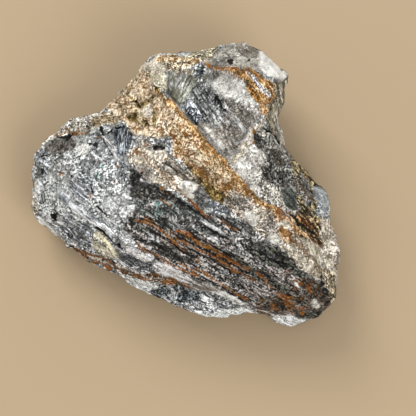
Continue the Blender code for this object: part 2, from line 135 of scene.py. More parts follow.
def ballGrid(steps):
    # Six grids on a cube, with shared edges welded: each corner is (column, row, side) in whole
    # steps, and the cube is swelled to a ball by tan(angle) spacing and then scaling to length 1.
    count = np.arange(steps + 1)
    column, row = (g.ravel() for g in np.meshgrid(count, count, indexing="ij"))
    spot = np.arange((steps + 1) ** 2).reshape(steps + 1, steps + 1)
    quads = np.stack([spot[:-1, :-1], spot[1:, :-1], spot[1:, 1:], spot[:-1, 1:]], axis=-1).reshape(-1, 4)
    corners, faces = [], []
    for axis in range(3):
        for side in (0, steps):
            flat = np.empty((len(column), 3), int)
            flat[:, axis] = side
            flat[:, (axis + 1) % 3] = column
            flat[:, (axis + 2) % 3] = row
            faces.append((quads if side else quads[:, ::-1]) + len(corners) * len(column))
            corners.append(flat)
    corners, welded = np.unique(np.concatenate(corners), axis=0, return_inverse=True)
    cube = np.tan((corners / steps - 0.5) * math.pi / 2)
    return cube / np.linalg.norm(cube, axis=1)[:, None], welded.ravel()[np.concatenate(faces)]


def edgesOf(faces):
    pairs = np.concatenate([faces[:, (k, (k + 1) % 4)] for k in range(4)])
    return np.unique(np.sort(pairs, axis=1), axis=0)


def smoothed(values, edges, share):
    # Each value moved that share of the way to the mean of its neighbours.
    count = np.bincount(edges.ravel(), minlength=len(values))
    result = np.empty_like(values)
    for k in range(values.shape[1]):
        total = np.bincount(edges[:, 0], values[edges[:, 1], k], len(values))
        total += np.bincount(edges[:, 1], values[edges[:, 0], k], len(values))
        result[:, k] = values[:, k] + share * (total / count - values[:, k])
    return result


def normalsOf(points, faces):
    # The sum of the faces' own normals (cross product of the diagonals) at each corner, to length 1.
    cross = np.cross(points[faces[:, 2]] - points[faces[:, 0]], points[faces[:, 3]] - points[faces[:, 1]])
    total = np.stack([
        sum(np.bincount(faces[:, k], cross[:, axis], len(points)) for k in range(4)) for axis in range(3)
    ], axis=1)
    return total / np.linalg.norm(total, axis=1)[:, None]


def shrunkSkin(solid):
    # The ball's corners, moved along its own normals to where they first meet the solid.
    ball, faces = ballGrid(skin["steps"])
    aims = skin["aimMiddle"] + ball * skin["aimHalf"] - skin["rayMiddle"]
    rays = aims / np.linalg.norm(aims, axis=1)[:, None]
    mesh = bpy.data.meshes.new("quartz_skin")
    mesh.from_pydata(skin["rayMiddle"] + rays * skin["ballRadius"], [], faces)
    mesh.update()
    piece = bpy.data.objects.new("quartz_skin", mesh)
    bpy.context.scene.collection.objects.link(piece)
    wrap = piece.modifiers.new("onto the solid", "SHRINKWRAP")
    wrap.target = solid
    wrap.wrap_method = "PROJECT"
    wrap.use_positive_direction = False
    wrap.use_negative_direction = True
    evaluated = piece.evaluated_get(bpy.context.evaluated_depsgraph_get())
    points = np.empty(len(mesh.vertices) * 3, np.float32)
    evaluated.data.vertices.foreach_get("co", points)
    piece.modifiers.remove(wrap)
    return piece, points.reshape(-1, 3).astype(float), faces


piece, points, faces = shrunkSkin(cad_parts["tourmalinated_quartz"])
edges = edgesOf(faces)
points = smoothed(points, edges, 0.5)
baseNormals = normalsOf(points, faces)
across, up = placesOf(points)

# How squarely each point faces the viewer: 1 is straight on, and below 0 it is turned away.
smoothNormals = smoothed(smoothed(baseNormals, edges, 1.0), edges, 1.0)
facing = smoothNormals @ (0, -math.cos(view["elevation"]), math.sin(view["elevation"]))
print("skin:", len(points), "points,", 2 * len(faces), "triangles")

# Fibres of tourmaline fan out from a place beyond the lower right tip. On the left lobe they bend down.
fibres = {
    "apex": (81.0, -61.0),
    "spread": 105.0,  # millimetres across the fibres for one radian of the fan
    "bendFrom": -15.0,
    "bend": 0.2,
    "slope": math.radians(-32),  # the fibres' mean direction
    "stretch": 0.13,  # patterns are this much finer across the fibres than along them
    "through": 0.15,  # and this much finer than through the face
    "rise": 0.05,  # how much they climb on the whole
    "face": [(-14, -6), (0, -6), (14, -10), (36, -26), (36, -34), (16, -31), (0, -23), (-16, -15)],
    "faceTurn": 0.3,  # how far a point has to face the viewer to count as part of that face
    "highest": 42.0,  # mm
}


def gapTo(line, across, up):
    # Distance to the nearest part of a line of points.
    nearest = np.full(len(across), np.inf)
    for (ax, ay), (bx, by) in zip(line, line[1:]):
        dx, dy = bx - ax, by - ay
        share = np.clip(((across - ax) * dx + (up - ay) * dy) / (dx * dx + dy * dy), 0, 1)
        nearest = np.minimum(nearest, np.hypot(across - ax - share * dx, up - ay - share * dy))
    return nearest


def within(outline, across, up):
    # True inside a closed outline: a ray to the right crosses it an odd number of times.
    crossed = np.zeros(len(across), bool)
    for (ax, ay), (bx, by) in zip(outline, outline[1:] + outline[:1]):
        if ay != by:
            crossed ^= ((ay > up) != (by > up)) & (across < ax + (up - ay) * (bx - ax) / (by - ay))
    return crossed


def fibreCoordinates(across, up, height):
    # (mm across the fibres, mm along them times the stretch, mm through them). The fibres lie along
    # the streaked face, so the last is how far the height leaves a curved surface fitted to that face.
    right, down = fibres["apex"][0] - across, up - fibres["apex"][1]
    along = np.hypot(right, down)
    over = np.arctan2(down, right) * fibres["spread"]
    over += fibres["bend"] * np.minimum(across - fibres["bendFrom"], 0)
    terms = np.stack([np.ones_like(over), over, along, over * over, over * along, along * along], axis=1)
    face = within(fibres["face"], across, up) & (facing > fibres["faceTurn"])
    fit = np.linalg.lstsq(terms[face], height[face], rcond=None)[0]
    apart = np.std(height[face] - terms[face] @ fit)
    print("fibres: the streaked face leaves its fitted surface by", round(apart, 2), "mm")
    through = fibres["through"] * (height - np.clip(terms @ fit, 0, fibres["highest"]))
    return np.stack([over, along * fibres["stretch"], through], axis=1)


# What the stone is made of. Each mineral has its dark, middle and bright sRGB tones as the eye meets
# them, so they hold some painted light and shade beside the stone's own colour, then: fibre (0 grainy,
# 1 fibrous), sugar (0 smooth, 1 sugary), roughness, how readily specks of rust and of black come, and how
# strongly chipped and how strongly ribbed it is broken.
minerals = {
    "paleLobe": ("505251 a0a29e f8f9f5", 0.25, 0.72, 0.5, 0, 0.15, 1, 0.4),
    "lobeSpeckled": ("46494c 868988 e2e3df", 0.2, 0.55, 0.45, 0.05, 0.25, 1, 0.3),
    "lobeDark": ("3e4244 7c7f80 d9dcdd", 0.4, 0.65, 0.4, 0, 0.25, 1, 0.6),
    "paleGlow": ("6f6f6d a7a7a2 f2f2f1", 0.25, 0.55, 0.5, 0, 0.1, 1, 0.4),
    "whiteStripe": ("8e9091 c8cacb f8f8f8", 0.8, 0.5, 0.45, 0, 0, 0.3, 0.6),
    "greyOval": ("505356 86898c c8cacb", 0.6, 0.45, 0.4, 0, 0.05, 0.3, 0.4),
    "northDark": ("2f2d2a 54504b 7b766f", 0.1, 0.7, 0.5, 0, 0.15, 0.6, 0.2),
    "northMottled": ("7d7664 cfc6b2 fbf6ee", 0.1, 0.95, 0.55, 0.2, 0.25, 1.2, 0.2),
    "prism": ("07090c 161a20 7c838a", 1, 0.5, 0.3, 0, 0.05, 0.2, 0.6),
    "bluePale": ("5a5f62 94989a d0d3d4", 0.5, 0.5, 0.35, 0, 0.1, 0.6, 0.4),
    "creamCrust": ("ab8d64 e4c9a3 fff0d5", 0, 0.8, 0.75, 0.3, 0.03, 1.1, 0),
    "creamBlock": ("958a6b c9bfa4 ebe4cf", 0.1, 0.45, 0.6, 0.05, 0, 0.6, 0),
    "creamWhite": ("a2947a cfc4b0 f1e8d8", 0.1, 0.6, 0.55, 0.05, 0, 0.8, 0),
    "stained": ("906a37 c59c65 ffe9c8", 0, 0.95, 0.8, 0.42, 0.05, 1.2, 0),
    "ochre": ("a58350 dcbe8d fbeacc", 0, 0.85, 0.8, 0.38, 0.04, 1.2, 0),
    # Painted shade, olive brown, for the hollows and grooves of the cream crust and the foot of the stained
    # slope.
    "olive": ("3a2d12 74602f ae9662", 0.2, 0.7, 0.75, 0.2, 0.25, 1, 0.3),
    "crestEdge": ("7a5521 b58746 e1b983", 0.5, 0.8, 0.7, 0.4, 0, 0.4, 0.2),
    "glass": ("45433a 605e50 89877a", 0.8, 0.25, 0.22, 0, 0, 0.1, 0.3),
    "glassPale": ("6f7066 9a9b8c c6c7ba", 0.6, 0.45, 0.3, 0, 0, 0.6, 0.2),
    "darkFacet": ("2d2f2f 606263 a4a39d", 0.6, 0.65, 0.28, 0, 0.15, 0.3, 0.7),
    "blueMottled": ("20242b 656a71 d6d9dc", 0.3, 0.8, 0.3, 0, 0.25, 0.4, 0.2),
    "wedge": ("23272c 767b81 e8eaec", 0.5, 0.65, 0.3, 0, 0.2, 0.5, 0.3),
    "greyQuartz": ("4e4940 6f6a61 9a9289", 0.3, 0.6, 0.4, 0, 0.08, 0.6, 0.3),
    "greyPale": ("615c52 837c72 a69f95", 0.3, 0.5, 0.4, 0, 0.08, 0.7, 0.3),
    "whiteQuartz": ("a8a497 cdc9c0 f0f1ea", 0.1, 0.45, 0.45, 0, 0.06, 0.7, 0),
    "milky": ("bdb09a dad5c9 faf8f3", 0.1, 0.5, 0.45, 0, 0, 0.6, 0),
    "milkyBlock": ("d1c7b2 e8e6de e8e7e6", 0.1, 0.2, 0.45, 0, 0, 0.5, 0),
    "blueGrey": ("74797b a0a5a6 cfd3d4", 0.3, 0.5, 0.4, 0, 0.1, 0.6, 0),
    "rustBand": ("7a5626 b5874f dcbd94", 0.4, 0.8, 0.75, 0.38, 0.05, 1.1, 0.3),
    "rustDark": ("4a3517 8a642f b98a4c", 0.3, 0.8, 0.7, 0.3, 0.25, 1.1, 0.3),
    "topSpecks": ("62523a b79f7a f3e4c6", 0.1, 1.0, 0.6, 0.25, 0.25, 1.2, 0),
    "farFace": ("847f74 afaa9f d2cec3", 0.1, 0.4, 0.5, 0, 0.1, 0.7, 0),
    "farOlive": ("55524a 85827a b3afa4", 0.3, 0.45, 0.5, 0, 0.12, 0.7, 0.2),
    "farCream": ("554d3c 9c9276 e0d8ba", 0.3, 0.9, 0.6, 0.15, 0.25, 0.8, 0.3),
    "eastEdge": ("5a5542 857f6b b3ad9b", 0.8, 0.6, 0.5, 0.05, 0.12, 0.6, 0.6),
    "flankPale": ("aa9e8e d6cfc4 f3f3ed", 0.1, 0.65, 0.5, 0, 0.14, 0.8, 0),
    "flankGrey": ("68655d a19c92 d6d0c4", 0.1, 0.8, 0.45, 0, 0.3, 1, 0),
    "flankDark": ("3a3a34 66645e a3a199", 0.1, 0.75, 0.35, 0.1, 0.3, 1.1, 0.1),
    # Painted shade, greenish grey, where the flank falls towards the low east ledge.
    "flankGreen": ("2c302b 4b504a 7e827b", 0.4, 0.45, 0.35, 0, 0.1, 0.5, 0.4),
    "flankBlack": ("22221f 464440 88867e", 0.1, 0.7, 0.3, 0, 0.4, 1.1, 0.1),
    "eastLow": ("3d331d 736343 b0a27c", 0.7, 1.0, 0.6, 0.26, 0.25, 1.1, 0.6),
    "eastRust": ("4a3420 806646 c4a981", 0.7, 1.0, 0.7, 0.22, 0.25, 1.1, 0.6),
    "veinCream": ("7f6d56 beaf97 f1e5d5", 0.15, 1.0, 0.6, 0.16, 0.12, 0.9, 0),
    "veinGrey": ("4c453a 7f776c b4aba0", 0.05, 0.6, 0.5, 0.05, 0.15, 0.9, 0),
    "veinShade": ("453e33 756e63 aba499", 0.7, 0.6, 0.5, 0.05, 0.25, 0.5, 0.6),
    "veinOrange": ("875c36 b48e66 e0c5a1", 0.2, 0.8, 0.7, 0.2, 0.05, 0.9, 0),
    "veinGreen": ("c1b699 f5e9ce fffaec", 0.3, 0.8, 0.5, 0.1, 0.15, 1, 0.2),
    "rimPale": ("ae9f83 eadac2 fff7e8", 0.3, 1.0, 0.6, 0.15, 0.2, 1.2, 0.2),
    "rimOlive": ("635539 b09f7c eee0c6", 0.5, 0.9, 0.6, 0.25, 0.3, 1.2, 0.4),
    "darkPatch": ("141310 2d2c29 5e5b53", 0.4, 0.8, 0.35, 0.05, 0.3, 0.9, 0.5),
    "slate": ("2a2927 494846 7c7b78", 0.4, 0.8, 0.4, 0, 0.25, 0.6, 0.5),
    "centreGrey": ("2d2f2b 4b4e48 80837e", 0.4, 0.8, 0.4, 0, 0.2, 0.9, 0.5),
    "bluish": ("6a6e73 a0a3a7 dfe1e3", 0.3, 0.8, 0.4, 0, 0.15, 0.9, 0.3),
    "streaked": ("1b1916 48433e 9f9994", 0.42, 0.95, 0.35, 0.12, 0.25, 0.6, 1),
    "streakedRust": ("120c06 332a22 7b746b", 0.6, 0.95, 0.45, 0.28, 0.3, 0.5, 1),
    "streakedPale": ("302f2c 5c5a56 aaa7a3", 0.35, 0.9, 0.4, 0.03, 0.2, 0.8, 0.7),
    "blackBand": ("090906 1e1e1a 5c5c53", 0.4, 0.9, 0.28, 0, 0.33, 0.6, 0.9),
    "tip": ("17150f 3d3730 756f67", 0.4, 0.85, 0.4, 0.34, 0.3, 1, 0.7),
    "lens": ("afadac e4e0dd fafafa", 0.4, 0.7, 0.4, 0, 0.03, 0.6, 0.4),
    "blackBlock": ("2a2b2b 4c4e4f 878889", 0.3, 0.7, 0.35, 0, 0.3, 0.8, 0.3),
    "yellowBlock": ("6e7066 a3a193 d2ccb8", 0.4, 0.7, 0.45, 0, 0.12, 0.6, 0.3),
    "yellowEdge": ("c0b796 e8dcb8 fdf3d3", 0.4, 0.35, 0.5, 0, 0.03, 0.3, 0.1),
    "ledgeBrown": ("2f281c 6d5f50 aaa194", 0.55, 0.8, 0.6, 0.28, 0.25, 0.9, 0.6),
    "ledgeGrey": ("4d463c 7f7870 b2ada7", 0.9, 0.5, 0.45, 0.08, 0.15, 0.3, 0.7),
    "paleFoot": ("474b4c 898b8a cfcfce", 0.4, 0.8, 0.45, 0, 0.2, 0.9, 0.6),
    "whiteEdge": ("bec0b7 f2f3ed f3f3f3", 0.5, 0.6, 0.45, 0, 0, 0.7, 0.4),
    "blackGlint": ("0d1013 33383a 7c8384", 0.3, 1.0, 0.22, 0, 0.35, 1.2, 0.2),
    "teal": ("4f6f69 86a8a1 b8d4ce", 0.2, 0.5, 0.4, 0, 0, 0.5, 0),
    "whiteThread": ("9a9995 d2d1ce f2f1ef", 0.8, 0.6, 0.4, 0, 0, 0.3, 0.3),
    "tanThread": ("8a5a30 b38355 d3aa80", 0.8, 0.6, 0.6, 0, 0, 0.2, 0.2),
}
# The fibres' own direction in degrees, where they leave the fan.
ownRuns = {
    "prism": 84,
    "bluePale": 84,
    "glass": 62,
    "glassPale": 62,
    "darkFacet": -58,
    "greyQuartz": -58,
    "greyPale": -50,
    "rustBand": -50,
    "rustDark": -50,
    "eastEdge": -80,
    "eastLow": -52,
    "eastRust": -52,
    "blueMottled": -58,
}

# Patches of each mineral, from the bottom coat up: (mineral, how far it stands out in mm, its outline).
areas = [
    # left lobe
    ("lobeSpeckled", 0, [
        (-27, 9), (-25, 12.5), (-21, 14.5), (-17, 9), (-14.5, 8), (-14, 3), (-18, -1), (-24, -1),
        (-27, 2),
    ]),
    ("paleGlow", 0, [(-36, 5), (-31, 7), (-28, 5), (-28, 2), (-31, 0), (-36, 1)]),
    ("paleGlow", 0.1, [
        (-21, -1), (-14.3, -0.6), (-13.9, -4.5), (-12.3, -7), (-14.6, -9.5), (-17.5, -10), (-20, -12),
        (-22.5, -10.5), (-22, -5),
    ]),
    ("whiteStripe", 0.2, [
        (-31.6, -3.8), (-28, -5.8), (-24, -8.3), (-20, -10.8), (-18, -13.4), (-19.6, -13.6), (-23, -11.3),
        (-27, -9), (-30.2, -6.4),
    ]),
    ("greyOval", 0.2, [
        (-30.4, -0.2), (-28.2, 0.6), (-26.2, -1), (-25.4, -3.6), (-26, -5.6), (-27.8, -5), (-29.6, -2.8),
    ]),
    ("greyOval", 0.2, [(-33.4, -1.8), (-31.6, -2), (-29.6, -4), (-30.6, -5.4), (-32.8, -4.6)]),
    ("lobeDark", -0.2, [
        (-31.5, -7), (-28.4, -9.4), (-25.2, -10.6), (-24, -12.6), (-24, -18), (-27, -17.8),
        (-30.5, -15.6), (-32, -12.6),
    ]),
    ("lobeDark", -0.1, [
        (-27.8, 3.4), (-25.2, 2.8), (-23.4, -1.8), (-24.6, -2.8), (-26.4, -0.2), (-28.8, 1.6),
    ]),
    ("lobeDark", 0, [(-39.2, 8.8), (-36.6, 8.9), (-36, 6.2), (-34.4, 5.8), (-36.4, 4.6), (-39, 5.4)]),
    ("lobeDark", 0, [(-38.6, 3.6), (-35.6, 3), (-36.4, 1.4), (-38.4, 1.8)]),
    ("whiteEdge", 0.1, [(-39.7, 1.2), (-38.2, 1.6), (-37.1, -1), (-37.4, -3), (-38.8, -3)]),
    ("northMottled", 0, [(-40.4, -2.6), (-38.9, -2.4), (-38, -6), (-39.8, -8.4), (-40.6, -6)]),
    ("whiteEdge", 0.1, [
        (-39.6, -8.4), (-37.8, -8.6), (-35.4, -11), (-31.8, -13.8), (-34.8, -13.8), (-38.2, -11),
    ]),
    ("whiteQuartz", 0.1, [(-29, 9.8), (-25.6, 10.5), (-24.7, 9), (-25.2, 7.6), (-27, 7.4), (-28.4, 8.2)]),
    # north-west face
    ("northMottled", 0, [
        (-38.5, 10), (-34, 13.6), (-30.5, 17), (-27, 18.4), (-22, 19.2), (-17, 19), (-16, 16.4),
        (-20, 15.6), (-23, 14.8), (-26, 12.9), (-28.6, 12.4), (-33, 12.3), (-36.3, 10.6),
    ]),
    ("northDark", 0, [
        (-36.6, 8.3), (-36.2, 10.4), (-33, 12), (-29.2, 12.2), (-28.6, 10.8), (-29.8, 8.4), (-33, 7.7),
    ]),
    ("topSpecks", 0, [
        (-24.5, 17.8), (-21, 18.9), (-17.5, 18.6), (-16, 17), (-18.3, 15.8), (-21.5, 15.7), (-24.4, 15.2),
    ]),
    ("prism", 0.2, [
        (-19, 13.2), (-16.8, 15.2), (-15.3, 14.6), (-13.8, 14.8), (-13.4, 13), (-14.7, 10.2),
        (-15.9, 7.6), (-17.2, 7.4), (-17.8, 10.2),
    ]),
    ("greyPale", 0, [(-12.4, 12.6), (-9.4, 13), (-8.9, 10.4), (-10.6, 9.2), (-12.6, 10)]),
    # cream corner and the stained slope
    ("creamCrust", 0, [
        (-21.5, 20.5), (-17.5, 25), (-14, 28), (-12.4, 31), (-9.2, 29.6), (-8.3, 26.6), (-7.3, 24.4),
        (-4.7, 22.5), (-4.6, 19), (-5, 15.5), (-3.7, 12.6), (-6.5, 11.8), (-10, 12.4), (-13.2, 12.8),
        (-14.7, 15.2), (-16.4, 17.2), (-19, 18.6),
    ]),
    # Hollows of the cream crust: sunk a little, and darkened with painted shade.
    ("olive", -0.3, [(-15.6, 18.2), (-13.8, 18), (-12.4, 19.4), (-12.2, 17), (-13.6, 16.4), (-15.4, 16.8)]),
    ("olive", -0.3, [
        (-13, 20.4), (-11, 21.2), (-9, 22.6), (-7.6, 23.4), (-8.4, 21.6), (-10.4, 20.2), (-12.4, 19.6),
    ]),
    ("olive", -0.2, [(-8.8, 19.6), (-7.8, 19.6), (-7.4, 16.4), (-8.2, 15.6), (-8.9, 17)]),
    ("olive", -0.2, [(-8.4, 25.8), (-7.2, 25.5), (-5.4, 23.4), (-6, 23), (-8, 24.6)]),
    ("creamWhite", 0.2, [(-11.6, 20), (-9, 20.8), (-8, 19), (-9, 17.2), (-11, 17.4)]),
    ("stained", 0.1, [
        (-6.4, 23), (-4, 22.2), (-2, 20.2), (2, 15.6), (6, 11.4), (10, 7), (13, 3.4), (16.5, -0.6),
        (20, -4.2), (24, -6.3), (22, -7.2), (19, -5.8), (16, -3.6), (13, -2.6), (11.3, -4.5), (8, -3),
        (5, 0), (2, 3), (-1, 5.3), (-3, 8), (-2.5, 11), (-4, 13), (-4.6, 16), (-5, 19),
    ]),
    ("ochre", 0, [(3.4, 7), (6, 8.4), (9, 6.6), (11.4, 3), (9, 2.2), (5.6, 2.8), (3.6, 4.6)]),
    ("ochre", 0, [(-3.4, 15), (-1.4, 14.6), (-0.2, 12.4), (-0.4, 10.2), (-2, 10.4), (-3, 12.4)]),
    ("creamCrust", 0.1, [(-5.4, 20.4), (-3.4, 20.6), (-1.6, 17.6), (-2.6, 14.8), (-4.4, 15.4), (-5.2, 18)]),
    ("creamCrust", 0.1, [(7.8, 2.2), (10.6, 2.8), (12.4, 1), (11, -0.6), (8.6, 0)]),
    ("creamCrust", 0.1, [(0, 10.4), (2.6, 10.6), (5, 8), (5.8, 5.4), (4, 4.6), (1.6, 6.4)]),
    ("ochre", -0.1, [(4.8, 3.2), (7, 4.4), (9.4, 2.4), (9, -0.6), (6.4, 0.2)]),
    ("creamCrust", 0.1, [(4.6, 5.4), (6.6, 5.2), (8, 2.6), (7, 1.6), (5, 3.2)]),
    # The groove at the foot of the stained slope: sunk, and darkened with painted shade.
    ("olive", -0.2, [
        (0, 4.8), (1.4, 4.2), (2.6, 2.8), (4.4, 1.2), (6.4, 0.4), (8.6, -1.4), (10.2, -3), (11.2, -4.6),
        (10.4, -5.6), (9, -4.8), (7, -3), (5, -0.8), (3.6, 1.2), (1.5, 2.8),
    ]),
    # crest of the slope, and the top edge
    ("creamWhite", 0.1, [
        (-12.2, 30.8), (-9, 32.1), (-6, 32.5), (-4.5, 31.6), (-4.8, 29.4), (-5.5, 28.7), (-8, 28.9),
        (-10.6, 29.4),
    ]),
    ("creamBlock", 0.2, [
        (-9.3, 28.4), (-8, 29), (-5.2, 28.8), (-4.5, 26), (-4.9, 23.9), (-6.4, 25), (-7.8, 26),
    ]),
    ("farCream", 0, [(1, 33.6), (2, 35), (8, 35.4), (10, 34.4), (7.5, 32.5), (5, 32), (1, 32.8)]),
    ("ochre", 0.1, [
        (-9.4, 32.2), (-6, 33.4), (-2, 34), (1, 33.3), (4.6, 32), (3, 31), (0, 31.7), (-4, 31.9),
        (-7, 31.9),
    ]),
    ("whiteThread", 0.1, [(-10, 32.9), (-8, 33.8), (-4, 34.4), (-6, 33.4)]),
    ("topSpecks", 0, [
        (-4.7, 31.6), (-1, 31.9), (2, 31.6), (2.5, 29.2), (1, 28.8), (-1, 29.7), (-4.6, 29.6),
    ]),
    ("blackGlint", 0.1, [(1.9, 31.2), (3.8, 31.6), (4.6, 30), (5, 28), (3.6, 28), (2.4, 29.2)]),
    # recess
    ("greyPale", 0, [
        (2, 15.8), (6, 16), (9, 20), (14.5, 21), (19.8, 20.4), (20.4, 17.4), (18.4, 16.2), (16.2, 14),
        (15.6, 12), (13.6, 9.2), (12, 7.4), (11, 6.4), (7, 11.4),
    ]),
    ("greyQuartz", 0, [
        (7.4, 17.6), (10, 19.8), (12.6, 18.2), (13.6, 15.8), (11.6, 13.4), (9, 14.2), (8, 14.6),
    ]),
    ("glass", 0, [
        (-4.5, 29.6), (-2, 29.3), (0.8, 28.9), (3.6, 28), (2.5, 26), (0.6, 26.2), (-1.2, 24.5),
        (-0.6, 22.6), (0.2, 21.4), (-1.8, 20.5), (-3.6, 22.2), (-4.6, 24.6),
    ]),
    ("glassPale", 0, [
        (-1.7, 26.4), (0.5, 26.6), (3.4, 26.4), (2.6, 24.8), (1, 23.4), (0.8, 22), (-0.8, 21.2),
        (-1.7, 21.8), (-1, 24),
    ]),
    ("darkFacet", 0, [
        (2.6, 25.2), (3.6, 26), (6, 25.2), (9.6, 20.6), (10.6, 18.4), (9.4, 14.4), (6, 15.9), (3.6, 16.1),
        (2, 16.1), (0, 18.4), (-0.9, 20.4), (0.8, 21.6), (1.3, 23.2),
    ]),
    ("blueMottled", 0, [
        (-0.6, 20.6), (1.2, 22.4), (2.6, 20.6), (4.6, 18.8), (3.8, 16.4), (2, 16), (0, 18.2),
    ]),
    ("whiteQuartz", 0.2, [
        (5, 27.6), (7.6, 27), (9.4, 29), (11, 28.9), (14, 27.4), (15.8, 25.8), (17, 24), (18.6, 22.1),
        (19.8, 20.6), (17, 19.8), (14, 21.3), (11.5, 22), (9.6, 22.4), (8, 24.5), (6, 26.3),
    ]),
    ("greyQuartz", -0.2, [(9.8, 22.2), (12, 22), (14, 20.8), (12.5, 19.4), (10.5, 20)]),
    ("greyQuartz", -0.2, [(14, 20), (17, 20.4), (18.6, 18.8), (17.5, 17.6), (15, 17.4), (13.8, 18.6)]),
    ("greyQuartz", -0.2, [(6.3, 28.4), (7.5, 29.7), (9.5, 29.5), (9.9, 28.4), (8.3, 27.1), (7.2, 27.6)]),
    ("glass", -0.1, [(4.6, 28.2), (6.2, 29), (6.8, 27.6), (5.2, 26.8)]),
    ("flankPale", 0.1, [
        (4.2, 15.7), (6, 15.2), (8, 13.4), (9.6, 11.6), (10.6, 8.8), (9.4, 9), (7.4, 11.6), (5.4, 13.8),
    ]),
    ("flankPale", 0.1, [(15.8, 20.4), (18, 20.2), (20.2, 19.2), (20.4, 17.8), (18.4, 18.4), (16.6, 19)]),
    # rusty band, and the face behind it
    ("farFace", 0, [
        (5, 31.8), (7, 33), (9, 35.5), (12, 38), (17, 38), (20.4, 35.6), (19.7, 31), (19, 29.3),
        (16.5, 30.6), (10, 30.6),
    ]),
    ("farOlive", 0, [(5.8, 32), (8.6, 33.3), (11, 35), (12, 33.6), (11, 31.2), (8, 31.1)]),
    ("greyPale", 0, [(13.6, 36.9), (19.6, 35.6), (19.2, 33), (16, 33.4), (13.4, 34.6)]),
    ("rustBand", 0, [
        (4.6, 31.9), (8, 31.1), (10, 30.7), (13.5, 30.8), (16.5, 30.7), (19, 29.3), (21.3, 27.8),
        (23.8, 26.8), (24.2, 24.5), (23.3, 22), (22, 20), (21, 17.6), (19.9, 18), (19.8, 20.8),
        (18, 22.6), (16.6, 24.3), (15.8, 26.4), (13.5, 28), (10.8, 29.3), (8.5, 30.1), (6, 30.2),
    ]),
    ("rustDark", -0.2, [
        (14.6, 28.2), (16.2, 27), (18, 24.6), (20.4, 22.6), (19.8, 20.8), (18, 22.4), (16.4, 24.2),
        (15.6, 26.4),
    ]),
    ("wedge", 0.3, [
        (16, 30.5), (17.6, 29.3), (19.4, 27), (21.2, 25), (22.8, 22.9), (21.6, 22.4), (19.6, 24.6),
        (18, 26.9), (16.5, 29),
    ]),
    ("milkyBlock", 0.3, [
        (19.7, 36), (22.6, 34), (25.4, 31), (28, 28.2), (25.6, 27.4), (23, 27.9), (20.7, 28.9),
        (19.6, 30.5),
    ]),
    # Painted shade under the lower edge of the white block.
    ("blueGrey", 0, [(20.5, 28.7), (23, 27.9), (25.6, 27.4), (24.6, 26.2), (22.6, 26.8)]),
    ("eastEdge", 0, [
        (24, 26.6), (27.4, 28), (28, 24), (27.4, 18), (27, 12), (26.2, 9.8), (24, 11.6), (22.4, 14.6),
        (21.2, 17), (22.3, 20), (23.7, 23),
    ]),
    # flank and east side
    ("flankPale", 0, [
        (11.6, 6), (15, 8.4), (17, 10.8), (18.6, 12.6), (20.4, 10.4), (21, 7), (20.4, 4), (20.4, 1),
        (20.6, -2.5), (19.6, -4.2), (17, -1), (14, 2.5),
    ]),
    ("creamWhite", 0.1, [
        (11.4, 6.4), (13.5, 9), (15.6, 12.4), (16.8, 15), (19.3, 16.6), (21, 17), (20.6, 14.4),
        (18.6, 13.2), (17.4, 10.6), (15.6, 8), (13.2, 5.2),
    ]),
    ("flankGrey", 0, [
        (19.4, 13.8), (22.3, 14), (24.4, 11), (26.6, 7.6), (28, 4.5), (29.2, 1), (29.8, -3), (30.6, -7),
        (28, -8.4), (25, -6), (21, -4.3), (20.2, -2.5), (20, 1), (20.4, 4), (20.8, 7), (19.6, 9.5),
        (18.6, 11.4),
    ]),
    ("flankDark", -0.1, [
        (20.4, 12.6), (22.6, 12.6), (24.2, 10.4), (26.2, 7.4), (27.8, 4.4), (29, 1), (28, -1.6),
        (25, -0.8), (22, 0.4), (20.6, 3.4), (21.4, 7), (20.6, 9.6),
    ]),
    ("flankBlack", 0, [(18.4, 13.4), (20.2, 13), (21, 11), (20.6, 8.8), (19.6, 9), (18.6, 11)]),
    ("flankBlack", -0.1, [(22, 9.2), (24, 8.8), (26.2, 7.2), (26.4, 5), (24.6, 4.4), (22.4, 5)]),
    ("flankBlack", -0.1, [
        (20.4, 3.6), (22.6, 4), (24.6, 3.4), (27.6, 3), (28.4, 0.6), (26, -0.4), (23.4, 0.6), (21, 1.2),
    ]),
    # Painted shade where the flank falls towards the low east ledge.
    ("flankGreen", 0, [(25.6, -1.6), (27.6, -1.2), (29.4, -3), (29.8, -6.8), (27.4, -7), (25.8, -5)]),
    ("eastLow", 0, [
        (28, 4.4), (28, 7.5), (33, 4.5), (36, 0.5), (37, -1), (34, -4), (34.6, -8), (37.4, -10.6),
        (35.4, -14), (33, -14.6), (30.4, -14), (28.4, -10.5), (27.6, -8.4), (30.5, -7), (29.7, -3),
        (29, 1),
    ]),
    ("flankDark", 0, [(28.4, 0.6), (30.4, 3), (33.4, 0), (33.8, -4), (32.6, -6.6), (31, -4), (29.6, -2)]),
    ("eastRust", 0, [
        (28.2, -8.6), (31, -8), (34.6, -8.6), (36, -11), (34, -12), (31, -11.2), (28.8, -10.6),
    ]),
    ("blueGrey", 0.2, [
        (33.8, -0.8), (36, -0.6), (37.8, -2), (38.4, -7.5), (36.6, -8.4), (35.2, -6), (34.2, -3),
    ]),
    ("rimPale", 0, [
        (35.6, -9), (38.6, -9), (40.4, -14), (41, -19), (41, -25), (38.5, -24), (37.5, -20), (36.5, -16),
        (35.4, -13),
    ]),
    ("rimOlive", 0, [
        (35.2, -22), (37.5, -22.4), (39.6, -24.6), (41, -26), (40.4, -31), (38, -33), (36.8, -31),
        (37.2, -28), (36, -24.6),
    ]),
    # quartz vein
    ("veinCream", 0.2, [
        (-15.4, 8), (-13, 9.5), (-11, 9.8), (-9, 8.7), (-6, 8.8), (-4.4, 7.8), (-2.5, 5.6), (0, 3.2),
        (3, 1.2), (4.2, -1), (2.4, -3.9), (0.3, -3.7), (-3, -2), (-6, -0.5), (-9, 0.4), (-11, 1.4),
        (-12.6, 4), (-14.4, 5.4),
    ]),
